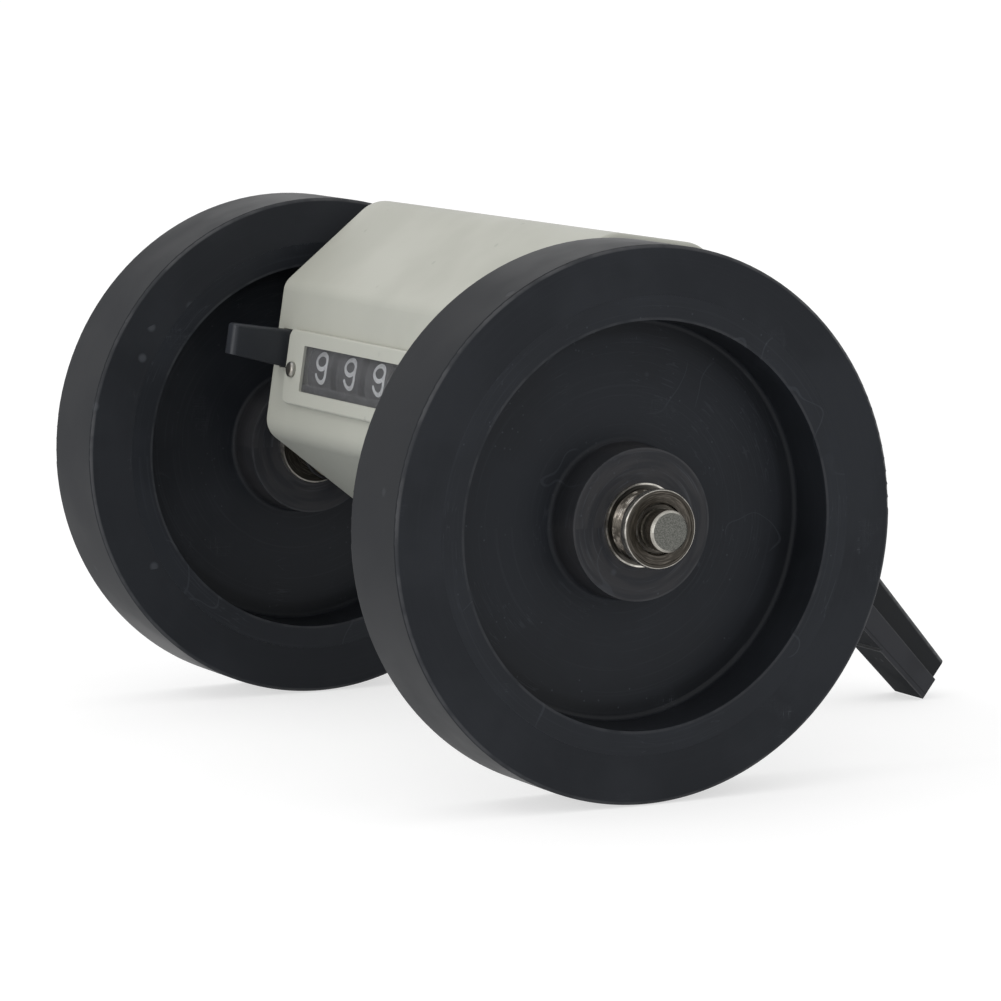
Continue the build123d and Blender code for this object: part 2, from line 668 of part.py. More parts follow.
def window_lens():
    """Clear flat lens held behind the window plate's lip."""
    centre = ((WINDOW_LEFT + WINDOW_RIGHT) / 2, (WINDOW_LOW + WINDOW_HIGH) / 2)
    slack = 0.1
    with BuildPart() as lens:
        with BuildSketch(facing(FRONT)):
            with Locations(centre):
                Rectangle(WINDOW_RIGHT - WINDOW_LEFT + 2 * (LENS_LIP - slack),
                          WINDOW_HIGH - WINDOW_LOW + 2 * (LENS_LIP - slack))
        extrude(amount=LENS_THICKNESS)
    return lens.part


def make_housing():
    """Casing, covers, bushes, window and their screws."""
    save(casing(), "casing")
    save(back_cover(), "back_cover")
    save(bush(RIGHT_END, -1), "bush_right")
    save(bush(LEFT_END, 1), "bush_left")
    save(window_bezel(), "window_bezel")
    save(window_lens(), "window_lens")
    save(screw_set(facing(FRONT - BEZEL_THICKNESS), bezel_screw_places(), BEZEL_SHANK_RADIUS,
                   BEZEL_THICKNESS + 3.6, BEZEL_HEAD_RADIUS, BEZEL_HEAD_HEIGHT), "bezel_screws")
    back = facing(REAR + COVER_THICKNESS)
    outward = Plane(origin=back.origin, x_dir=(-1, 0, 0), z_dir=-back.z_dir)
    save(screw_set(outward, [(-x, up) for x, up in cover_screw_places()], M3_RADIUS,
                   COVER_THICKNESS + 6.0, M3_HEAD_RADIUS, M3_HEAD_HEIGHT), "cover_screws")
    save(screw_set(from_below(BELLY_UP), frame_screw_places(), FRAME_SCREW_RADIUS, WALL + 5.0,
                   FRAME_HEAD_RADIUS, FRAME_HEAD_HEIGHT), "frame_screws")


# ---- counter frame -----------------------------------------------------------------------
def frame_plate(x, holes):
    """Steel side plate of the counter, cut to the inside of the housing."""
    with BuildPart() as plate:
        with BuildSketch(section(x)):
            add(shell_outline(WALL + PLATE_GAP))
            with Locations((PLATE_REAR + 50, 20)):
                Rectangle(100, 100, mode=Mode.SUBTRACT)
            Circle(SHAFT_RADIUS + 1.5, mode=Mode.SUBTRACT)
            with Locations((-8, -10)):
                Rectangle(27, 20, mode=Mode.SUBTRACT)
            for centre, radius in holes:
                with Locations(centre):
                    Circle(radius, mode=Mode.SUBTRACT)
        extrude(amount=PLATE_THICKNESS)
    return plate.part


def left_plate():
    """Left side plate, with a bent tab for the reset spring and another that guides the key."""
    rods = [(spot, ROD_SPIGOT + SEAT_GAP) for spot in [*ROD_PLACES, (SHELL_CENTRE, BAR_UP)]]
    holes = rods + [(COUNTER, AXLE_RADIUS + RUNNING_FIT), (PINION_AXLE, PINION_AXLE_RADIUS + SEAT_GAP)]
    tab_low = KEY_TOP - 6
    with BuildPart() as plate:
        add(frame_plate(LEFT_PLATE_X, holes))
        with BuildSketch(section(LEFT_PLATE_X)):
            with Locations((SPRING_SEAT_BACK + PLATE_THICKNESS / 2, (tab_low + KEY_TOP + 1) / 2)):
                Rectangle(PLATE_THICKNESS, KEY_TOP + 1 - tab_low)
            with Locations((0, KEY_TOP + KEY_SLIDE_FIT + PLATE_THICKNESS / 2)):
                Rectangle(20, PLATE_THICKNESS)
        extrude(amount=-TAB_REACH)
    return plate.part


def right_plate():
    """Right side plate, which also carries the idler's stub."""
    rods = [(spot, ROD_SPIGOT + SEAT_GAP) for spot in [*ROD_PLACES, (SHELL_CENTRE, BAR_UP)]]
    holes = rods + [(COUNTER, SLEEVE_HUB_RADIUS + RUNNING_FIT), (PINION_AXLE, PINION_AXLE_RADIUS + SEAT_GAP),
                    (IDLER, IDLER_STUB_RADIUS + SEAT_GAP)]
    return frame_plate(RIGHT_PLATE_X, holes)


def frame_bar():
    """Square bar that spaces the side plates at the bottom and takes the two frame screws."""
    inner_left = LEFT_PLATE_X + PLATE_THICKNESS
    outer_right = RIGHT_PLATE_X + PLATE_THICKNESS
    with BuildPart() as bar:
        with BuildSketch(section(inner_left)):
            with Locations((SHELL_CENTRE, BAR_UP)):
                Rectangle(BAR_WIDTH, BAR_HEIGHT)
        extrude(amount=RIGHT_PLATE_X - inner_left)
        with BuildSketch(section(LEFT_PLATE_X - 0.3)):
            with Locations((SHELL_CENTRE, BAR_UP)):
                Circle(ROD_SPIGOT)
        extrude(amount=outer_right - LEFT_PLATE_X + 0.6)
        with BuildSketch(from_below(BAR_UP - BAR_HEIGHT / 2)):
            with Locations(*frame_screw_places()):
                Circle(FRAME_SCREW_RADIUS + SEAT_GAP)
        extrude(amount=-BAR_HEIGHT, mode=Mode.SUBTRACT)
    return bar.part


def frame_screw_places():
    """Centres of the two screws under the housing, drawn from below."""
    return [(x, -SHELL_CENTRE) for x in FRAME_SCREW_XS]


def tie_rods():
    """Two shouldered rods that hold the side plates apart, with riveted ends."""
    inner_left = LEFT_PLATE_X + PLATE_THICKNESS
    outer_right = RIGHT_PLATE_X + PLATE_THICKNESS
    outline = [
        (LEFT_PLATE_X - 0.6, 0), (outer_right + 0.6, 0), (outer_right + 0.6, ROD_RADIUS),
        (outer_right, ROD_RADIUS), (outer_right, ROD_SPIGOT), (RIGHT_PLATE_X, ROD_SPIGOT),
        (RIGHT_PLATE_X, ROD_RADIUS), (inner_left, ROD_RADIUS), (inner_left, ROD_SPIGOT), (LEFT_PLATE_X, ROD_SPIGOT),
        (LEFT_PLATE_X, ROD_RADIUS), (LEFT_PLATE_X - 0.6, ROD_RADIUS)]
    return Compound(children=[turned(outline, *spot) for spot in ROD_PLACES])


def idler_stub():
    """Stub riveted to the right plate, grooved for a retaining clip."""
    clip = FIRST_GEAR_X + GEAR_WIDTH + 0.15
    groove = IDLER_STUB_RADIUS - 0.4
    return turned([
        (RIGHT_PLATE_X - 0.5, 0), (clip + 1.4, 0), (clip + 1.4, IDLER_STUB_RADIUS),
        (clip + CLIP_THICKNESS, IDLER_STUB_RADIUS), (clip + CLIP_THICKNESS, groove), (clip, groove),
        (clip, IDLER_STUB_RADIUS), (RIGHT_PLATE_X, IDLER_STUB_RADIUS),
        (RIGHT_PLATE_X, IDLER_STUB_RADIUS + 0.6), (RIGHT_PLATE_X - 0.5, IDLER_STUB_RADIUS + 0.6)], *IDLER)


def retaining_clip(x, groove_radius, outer_radius, centre):
    """Flat spring clip, open on one side so that it snaps into a groove."""
    across = section(x)
    middle = Plane(origin=tuple(place(*centre, x)), x_dir=across.x_dir, z_dir=across.z_dir)
    with BuildPart() as clip:
        with BuildSketch(middle):
            Circle(outer_radius)
            Circle(groove_radius + SEAT_GAP, mode=Mode.SUBTRACT)
            with Locations((0, -outer_radius)):
                Rectangle(1.5 * groove_radius, 2 * outer_radius, mode=Mode.SUBTRACT)
        extrude(amount=CLIP_THICKNESS)
    return clip.part


# ---- number wheels and their drive ---------------------------------------------------------
def number_wheel(position):
    """Drum with its figures' rim, hub, transfer gear on the right and locking ring on the left."""
    x = WHEEL_XS[position]
    bore = AXLE_RADIUS + RUNNING_FIT
    drum_left = x - DRUM_HALF
    drum_right = x + DRUM_HALF
    ring_left = drum_left - GEAR_FACE
    hub_right = drum_right + (GEAR_FACE if position else 0)
    outline = [
        (ring_left, bore), (hub_right, bore), (hub_right, WHEEL_HUB_RADIUS),
        (drum_left + 1.4, WHEEL_HUB_RADIUS),
        (drum_left + 1.4, DRUM_RADIUS - DRUM_WALL), (drum_right, DRUM_RADIUS - DRUM_WALL),
        (drum_right, DRUM_RADIUS - DRUM_EDGE), (drum_right - DRUM_EDGE, DRUM_RADIUS),
        (drum_left + DRUM_EDGE, DRUM_RADIUS), (drum_left, DRUM_RADIUS - DRUM_EDGE),
        (drum_left, LOCK_RING_RADIUS), (ring_left, LOCK_RING_RADIUS)]
    with BuildPart() as wheel:
        add(turned(outline, *COUNTER))
        if position:
            add(gear_blank(drum_right, GEAR_FACE, WHEEL_TEETH, TRANSFER_MODULE, PINION_BEARING, COUNTER,
                           bore))
        else:
            add(tube(drum_right, RIGHT_PLATE_X - 0.1, bore, SLEEVE_HUB_RADIUS + 1.6, *COUNTER))
            add(tube(drum_right, SECOND_GEAR_X + GEAR_WIDTH + 0.3, bore, SLEEVE_HUB_RADIUS, *COUNTER))
        # two carry teeth, left standing between three notches in the locking ring
        if position < FIGURES - 1:
            with BuildSketch(section(ring_left)):
                with Locations(COUNTER):
                    with PolarLocations(LOCK_RING_RADIUS, 3, start_angle=PINION_BEARING, angular_range=30,
                                        endpoint=True):
                        Circle(0.9)
            extrude(amount=GEAR_FACE, mode=Mode.SUBTRACT)
    return wheel.part


def transfer_pinion(position):
    """Ten-tooth pinion between two wheels: every second tooth is cut away beside the locking ring."""
    middle = (WHEEL_XS[position] + WHEEL_XS[position + 1]) / 2
    half = 1.2
    gap_to_gear = PINION_BEARING + 180 + 180 / PINION_TEETH
    bore = PINION_AXLE_RADIUS + RUNNING_FIT
    root = TRANSFER_MODULE * (PINION_TEETH / 2 - DEDENDUM)
    with BuildPart() as pinion:
        add(gear_blank(middle - half, 2 * half, PINION_TEETH, TRANSFER_MODULE, gap_to_gear, PINION_AXLE,
                       bore))
        with BuildSketch(section(middle - 0.1)):
            with Locations(PINION_AXLE):
                with PolarLocations(root + 1.2, PINION_TEETH // 2, start_angle=gap_to_gear):
                    Rectangle(2.4, 2.4)
        extrude(amount=half + 0.2, mode=Mode.SUBTRACT)
    return pinion.part


def idler_gear():
    """Compound gear: the large wheel is driven by the shaft, the small one drives the counter."""
    bore = IDLER_STUB_RADIUS + RUNNING_FIT
    tooth_to_shaft = direction(IDLER, SHAFT)
    tooth_to_counter = direction(IDLER, COUNTER)
    with BuildPart() as gear:
        add(gear_blank(FIRST_GEAR_X, GEAR_WIDTH, IDLER_TEETH, FIRST_MODULE, tooth_to_shaft, IDLER, bore))
        add(gear_blank(SECOND_GEAR_X, GEAR_WIDTH, SECOND_TEETH, SECOND_MODULE,
                       tooth_to_counter, IDLER, bore))
        add(tube(SECOND_GEAR_X - 0.7, FIRST_GEAR_X, bore, 3.5, *IDLER))
        with BuildSketch(section(FIRST_GEAR_X)):
            with Locations(IDLER):
                with PolarLocations(6.8, 5):
                    Circle(1.7)
        extrude(amount=GEAR_WIDTH, mode=Mode.SUBTRACT)
    return gear.part


def tenths_gear():
    """Gear pressed on the sleeve of the tenths wheel."""
    gap_to_idler = direction(COUNTER, IDLER) + 180 / SECOND_TEETH
    return gear_blank(SECOND_GEAR_X, GEAR_WIDTH, SECOND_TEETH, SECOND_MODULE, gap_to_idler, COUNTER,
                      SLEEVE_HUB_RADIUS + SEAT_GAP)


def reset_axle():
    """Grooved axle through the number wheels, with the reset pinion cut on its left end."""
    pinion_left = KEY_X - KEY_WIDTH / 2 - 0.2
    pinion_right = KEY_X + KEY_WIDTH / 2 + 0.2
    gap_to_rack = 90 + 180 / RESET_TEETH
    clip = SECOND_GEAR_X + GEAR_WIDTH + 0.45
    groove = AXLE_RADIUS - 0.4
    with BuildPart() as axle:
        add(turned([
            (pinion_right, 0), (clip + 1.4, 0), (clip + 1.4, AXLE_RADIUS),
            (clip + CLIP_THICKNESS, AXLE_RADIUS), (clip + CLIP_THICKNESS, groove), (clip, groove),
            (clip, AXLE_RADIUS), (pinion_right, AXLE_RADIUS)],
            *COUNTER))
        add(gear_blank(pinion_left, pinion_right + 0.3 - pinion_left, RESET_TEETH, RESET_MODULE, gap_to_rack,
                       COUNTER, 0))
        with BuildSketch(section(WHEEL_XS[-1] - DRUM_HALF - GEAR_FACE)):
            with Locations((COUNTER_BACK, COUNTER_UP - AXLE_RADIUS)):
                Rectangle(0.8, 1.0)
        extrude(until=Until.LAST, mode=Mode.SUBTRACT)
    return axle.part


def make_counter():
    """The counter on its own frame."""
    save(left_plate(), "frame_plate_left")
    save(right_plate(), "frame_plate_right")
    save(tie_rods(), "tie_rods")
    save(frame_bar(), "frame_bar")
    save(idler_stub(), "idler_stub")
    save(rod(LEFT_PLATE_X - 0.5, RIGHT_PLATE_X + PLATE_THICKNESS + 0.5, PINION_AXLE_RADIUS, *PINION_AXLE),
         "pinion_axle")
    spacer_bore = AXLE_RADIUS + RUNNING_FIT
    spacer_end = WHEEL_XS[-1] - DRUM_HALF - GEAR_FACE - 0.15
    spacer = tube(LEFT_PLATE_X + PLATE_THICKNESS, spacer_end, spacer_bore, 3.4, *COUNTER)
    save(spacer, "axle_spacer")
    for position in range(FIGURES):
        save(number_wheel(position), f"number_wheel_{position + 1}")
    for position in range(FIGURES - 1):
        save(transfer_pinion(position), f"transfer_pinion_{position + 1}")
    save(idler_gear(), "idler_gear")
    save(tenths_gear(), "tenths_gear")
    save(reset_axle(), "reset_axle")
    clip_x = SECOND_GEAR_X + GEAR_WIDTH + 0.45
    save(retaining_clip(clip_x, AXLE_RADIUS - 0.4, CLIP_RADIUS, COUNTER), "axle_clip")
    save(retaining_clip(FIRST_GEAR_X + GEAR_WIDTH + 0.15, IDLER_STUB_RADIUS - 0.4, CLIP_RADIUS - 0.6, IDLER),
         "idler_clip")


# ---- reset key ---------------------------------------------------------------------------
def rack_teeth():
    """Corners of the rack under the key's tail, with one tooth over the counter axle."""
    pitch = pi * RESET_MODULE
    pitch_line = COUNTER_UP + RESET_TEETH * RESET_MODULE / 2
    tip = pitch_line - ADDENDUM * RESET_MODULE
    root = pitch_line + DEDENDUM * RESET_MODULE
    lean = tan(radians(PRESSURE_ANGLE))
    half = TOOTH_FILL * pitch / 4
    corners = []
    for tooth in range(-9, 2):
        middle = COUNTER_BACK + tooth * pitch
        at_root = half + lean * (root - pitch_line)
        at_tip = half - lean * (pitch_line - tip)
        corners += [(middle - at_root, root), (middle - at_tip, tip), (middle + at_tip, tip),
                    (middle + at_root, root)]
    return corners


def finger_piece():
    """Tapered outer end of the key, rounded at its front corners and along its top."""
    up_axis = Axis(tuple(place(FRONT, KEY_TOP, KEY_X)), tuple(facing(0).y_dir))
    with BuildPart() as piece:
        with BuildSketch(section(KEY_X)):
            with BuildLine():
                Polyline((KEY_TIP_BACK, KEY_TIP_LOW), (KEY_TIP_BACK, KEY_TOP), (FRONT, KEY_TOP),
                         (FRONT, KEY_ROOT_LOW), close=True)
            make_face()
        extrude(amount=KEY_WIDTH / 2, both=True)
        nose = piece.faces().sort_by(Axis.Y)[0]
        fillet(nose.edges().filter_by(Axis.X, reverse=True), KEY_FRONT_ROUND)
        rear = piece.edges().filter_by(Axis.X).group_by(Axis.Y)[-1]
        top = piece.faces().sort_by(up_axis)[-1]
        fillet([edge for edge in top.edges() if edge not in rear], KEY_EDGE_ROUND)
    return piece.part


def reset_key():
    """Push key: finger piece outside, rack, stop shoulder and spring spigot inside."""
    root = COUNTER_UP + RESET_MODULE * (RESET_TEETH / 2 + DEDENDUM)
    inner_face = FRONT + WALL
    shoulder_low = root + KEY_SHOULDER
    with BuildPart() as key:
        add(finger_piece())
        with BuildSketch(section(KEY_X)):
            with BuildLine():
                Polyline((FRONT, KEY_TOP), (KEY_TAIL_END, KEY_TOP), (KEY_TAIL_END, root),
                         *reversed(rack_teeth()), (inner_face, root), (inner_face, KEY_ROOT_LOW),
                         (FRONT, KEY_ROOT_LOW), close=True)
            make_face()
        extrude(amount=KEY_WIDTH / 2, both=True)
        # stop shoulder behind the front wall
        with BuildSketch(section(KEY_X)):
            with Locations((inner_face + 1.2, (shoulder_low + KEY_TOP) / 2)):
                Rectangle(2.2, KEY_TOP - shoulder_low)
        extrude(amount=KEY_WIDTH / 2 + KEY_SHOULDER, both=True)
        with BuildSketch(facing(KEY_TAIL_END)):
            with Locations((KEY_X, spring_up())):
                Circle(SPIGOT_RADIUS)
        extrude(amount=-2.5)
    return key.part


def spring_up():
    """Height of the return spring's axis."""
    return (COUNTER_UP + RESET_MODULE * (RESET_TEETH / 2 + DEDENDUM) + KEY_TOP) / 2


def reset_spring():
    """Compression spring between the key's tail and the tab of the left plate."""
    height = SPRING_SEAT_BACK - KEY_TAIL_END - 2 * SPRING_WIRE
    start = facing(KEY_TAIL_END + SPRING_WIRE)
    origin = start.from_local_coords(Vector(KEY_X, spring_up(), 0))
    with BuildPart() as spring:
        with BuildLine() as path:
            Helix(pitch=height / SPRING_TURNS, height=height, radius=SPRING_RADIUS, center=tuple(origin),
                  direction=tuple(-start.z_dir))
        with BuildSketch(Plane(origin=path.line @ 0, z_dir=path.line % 0)):
            RegularPolygon(SPRING_WIRE, 6)
        sweep(path=path.line)
    return spring.part


def make_reset():
    """Reset key and its spring."""
    save(reset_key(), "reset_key")
    save(reset_spring(), "reset_spring")


# ---- rear arm ----------------------------------------------------------------------------
def arm_plane():
    """Plane along the arm through its pivot: local x runs down to the tip, local y to its upper side."""
    pivot = tuple(place(PIVOT_BACK, PIVOT_UP))
    return Plane(origin=pivot, x_dir=(0, cos(PITCH), -sin(PITCH)), z_dir=(1, 0, 0))


def arm_rib(step_end):
    """Narrower rib along the upper side of the arm, rounded along its top and at its tip."""
    high_root = ARM_TIP_HIGH + ARM_HIGH_TAPER * ARM_LENGTH
    corner = (ARM_LENGTH - ARM_TIP_SLANT, ARM_TIP_HIGH)
    with BuildPart() as rib:
        with BuildSketch(arm_plane()) as outline:
            with BuildLine():
                Polyline((0, 0), (0, high_root), corner, (step_end, ARM_STEP), (step_end, 0), close=True)
            make_face()
            fillet(outline.vertices().sort_by(Axis.Y)[-1], ARM_TIP_ROUND)
        extrude(amount=ARM_RIB_WIDTH / 2, both=True)
        tip_rounds = rib.edges().filter_by(GeomType.CIRCLE)
        fillet(tip_rounds, ARM_RIB_ROUND)
    return rib.part


def support_arm():
    """Tapered cast arm: a broad lower bar with a narrower rib along its back, and a tip pad."""
    low_root = ARM_TIP_LOW - ARM_LOW_TAPER * ARM_LENGTH
    step_end = ARM_LENGTH - ARM_TIP_SLANT * (ARM_STEP - ARM_TIP_LOW) / (ARM_TIP_HIGH - ARM_TIP_LOW)
    pad_low = ARM_TIP_LOW - ARM_LOW_TAPER * (ARM_LENGTH - ARM_PAD_START)
    with BuildPart() as arm:
        with BuildSketch(arm_plane()):
            with BuildLine():
                Polyline((0, low_root + ARM_PAD_HEIGHT), (0, ARM_STEP), (step_end, ARM_STEP),
                         (ARM_LENGTH, ARM_TIP_LOW), (ARM_PAD_START, pad_low),
                         (ARM_PAD_START, pad_low + ARM_PAD_HEIGHT), close=True)
            make_face()
        extrude(amount=ARM_WIDTH / 2, both=True)
        add(arm_rib(step_end))
        with BuildSketch(arm_plane()):
            Circle(ARM_HUB_RADIUS)
        extrude(amount=ARM_WIDTH / 2, both=True)
        with BuildSketch(arm_plane()):
            Circle(BOLT_RADIUS + RUNNING_FIT)
        extrude(amount=ARM_WIDTH, both=True, mode=Mode.SUBTRACT)
    return arm.part


def make_arm():
    """Arm, its pivot bolt, washers and nut."""
    ear_face = ARM_WIDTH / 2 + EAR_GAP + EAR_THICKNESS
    washer = 1.0
    head = 4.0
    pivot = (PIVOT_BACK, PIVOT_UP)
    save(support_arm(), "support_arm")
    with BuildPart() as bolt:
        with BuildSketch(section(-ear_face - washer)):
            with Locations(pivot):
                RegularPolygon(5.0, 6, major_radius=False)
        extrude(amount=-head)
        with BuildSketch(section(-ear_face - washer)):
            with Locations(pivot):
                Circle(BOLT_RADIUS)
        extrude(amount=2 * (ear_face + washer) + 7.0)
    save(bolt.part, "pivot_bolt")
    with BuildPart() as nut:
        with BuildSketch(section(ear_face + washer)):
            with Locations(pivot):
                RegularPolygon(5.0, 6, major_radius=False)
                Circle(BOLT_RADIUS + SEAT_GAP, mode=Mode.SUBTRACT)
        extrude(amount=5.0)
    save(nut.part, "pivot_nut")
    rings = [tube(ear_face, ear_face + washer, BOLT_RADIUS + SEAT_GAP, 6.0, *pivot),
             tube(-ear_face - washer, -ear_face, BOLT_RADIUS + SEAT_GAP, 6.0, *pivot)]
    save(Compound(children=rings), "pivot_washers")


os.makedirs("parts", exist_ok=True)
make_rollers()
make_housing()
make_counter()
make_reset()
make_arm()
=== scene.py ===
"""Looks of a cable length counter: finishes, figures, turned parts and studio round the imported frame."""

import json
import logging
import math
from dataclasses import dataclass, field
from enum import Enum

import bmesh
import bpy
from mathutils import Matrix, Vector

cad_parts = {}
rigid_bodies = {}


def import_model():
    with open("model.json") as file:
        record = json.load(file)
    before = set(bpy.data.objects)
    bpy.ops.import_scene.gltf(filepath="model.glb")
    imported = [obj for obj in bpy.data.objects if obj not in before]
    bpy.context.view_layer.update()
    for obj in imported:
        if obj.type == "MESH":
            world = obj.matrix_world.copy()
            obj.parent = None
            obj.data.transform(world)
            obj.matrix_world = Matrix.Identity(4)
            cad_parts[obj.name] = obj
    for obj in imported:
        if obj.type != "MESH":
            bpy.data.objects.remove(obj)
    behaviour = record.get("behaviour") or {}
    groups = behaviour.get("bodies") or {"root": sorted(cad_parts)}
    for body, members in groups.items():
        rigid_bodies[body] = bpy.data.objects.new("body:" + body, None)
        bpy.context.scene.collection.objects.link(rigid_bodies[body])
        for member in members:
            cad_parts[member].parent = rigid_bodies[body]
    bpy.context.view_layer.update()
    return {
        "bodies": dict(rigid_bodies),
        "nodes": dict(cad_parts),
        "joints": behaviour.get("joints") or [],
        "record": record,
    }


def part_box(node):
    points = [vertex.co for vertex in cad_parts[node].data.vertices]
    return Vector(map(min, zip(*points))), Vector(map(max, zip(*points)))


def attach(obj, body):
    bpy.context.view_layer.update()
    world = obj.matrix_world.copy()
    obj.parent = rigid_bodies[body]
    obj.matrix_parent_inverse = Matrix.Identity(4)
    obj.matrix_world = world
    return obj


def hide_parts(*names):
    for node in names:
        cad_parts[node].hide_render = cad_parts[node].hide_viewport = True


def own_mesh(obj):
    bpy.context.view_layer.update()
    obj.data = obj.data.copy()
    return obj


MM = 0.001
LEAN = math.radians(8.7)  # how far the housing leans back
Colour = tuple[float, float, float]
Place = tuple[float, float, float]
Profile = list[tuple[float, float]]
Net = bmesh.types.BMesh
Corners = list[bmesh.types.BMVert]
LOG = logging.getLogger("counter")


def toned(colour: Colour, gain: float, lift: float = 0.0) -> Colour:
    """Colour made lighter or darker."""
    return tuple(min(1.0, channel * gain + lift) for channel in colour)


def joint_of(frame: dict, name: str) -> dict:
    """Joint of this name."""
    return next(joint for joint in frame["joints"] if joint["name"] == name)


# ---- shading bench -------------------------------------------------------------------------
class Channel:
    """A value, colour or vector on its way through a material, open to plain arithmetic."""

    def __init__(self, bench: "Bench", socket: bpy.types.NodeSocket) -> None:
        """Keep the bench that the socket stands on."""
        self.bench = bench
        self.socket = socket

    def __add__(self, other: "Channel | float") -> "Channel":
        """Sum of two values."""
        return self.bench.maths("ADD", self, other)

    __radd__ = __add__

    def __sub__(self, other: "Channel | float") -> "Channel":
        """Difference of two values."""
        return self.bench.maths("SUBTRACT", self, other)

    def __rsub__(self, other: float) -> "Channel":
        """Difference with the plain number first."""
        return self.bench.maths("SUBTRACT", other, self)

    def __mul__(self, other: "Channel | float") -> "Channel":
        """Product of two values."""
        return self.bench.maths("MULTIPLY", self, other)

    __rmul__ = __mul__

    def __pow__(self, other: float) -> "Channel":
        """Value raised to a plain power."""
        return self.bench.maths("POWER", self, other)

    def __or__(self, other: "Channel | float") -> "Channel":
        """Greater of two values, which joins two masks."""
        return self.bench.maths("MAXIMUM", self, other)

    __ror__ = __or__

    def above(self, level: float, soft: float) -> "Channel":
        """Mask that rises from 0 to 1 across a level.

        Args:
            level: Where the mask is one half.
            soft: Half the width of the rise.

        Returns:
            The mask.
        """
        return self.bench.rise(self, level - soft, level + soft)

    def near(self, level: float, width: float) -> "Channel":
        """Mask of a thin line where the value passes a level.

        Args:
            level: Value on the line.
            width: How far from the level the line fades out.

        Returns:
            The mask, 1 on the line.
        """
        gap = self.bench.maths("ABSOLUTE", self - level)
        return 1 - self.bench.rise(gap, width * 0.4, width)


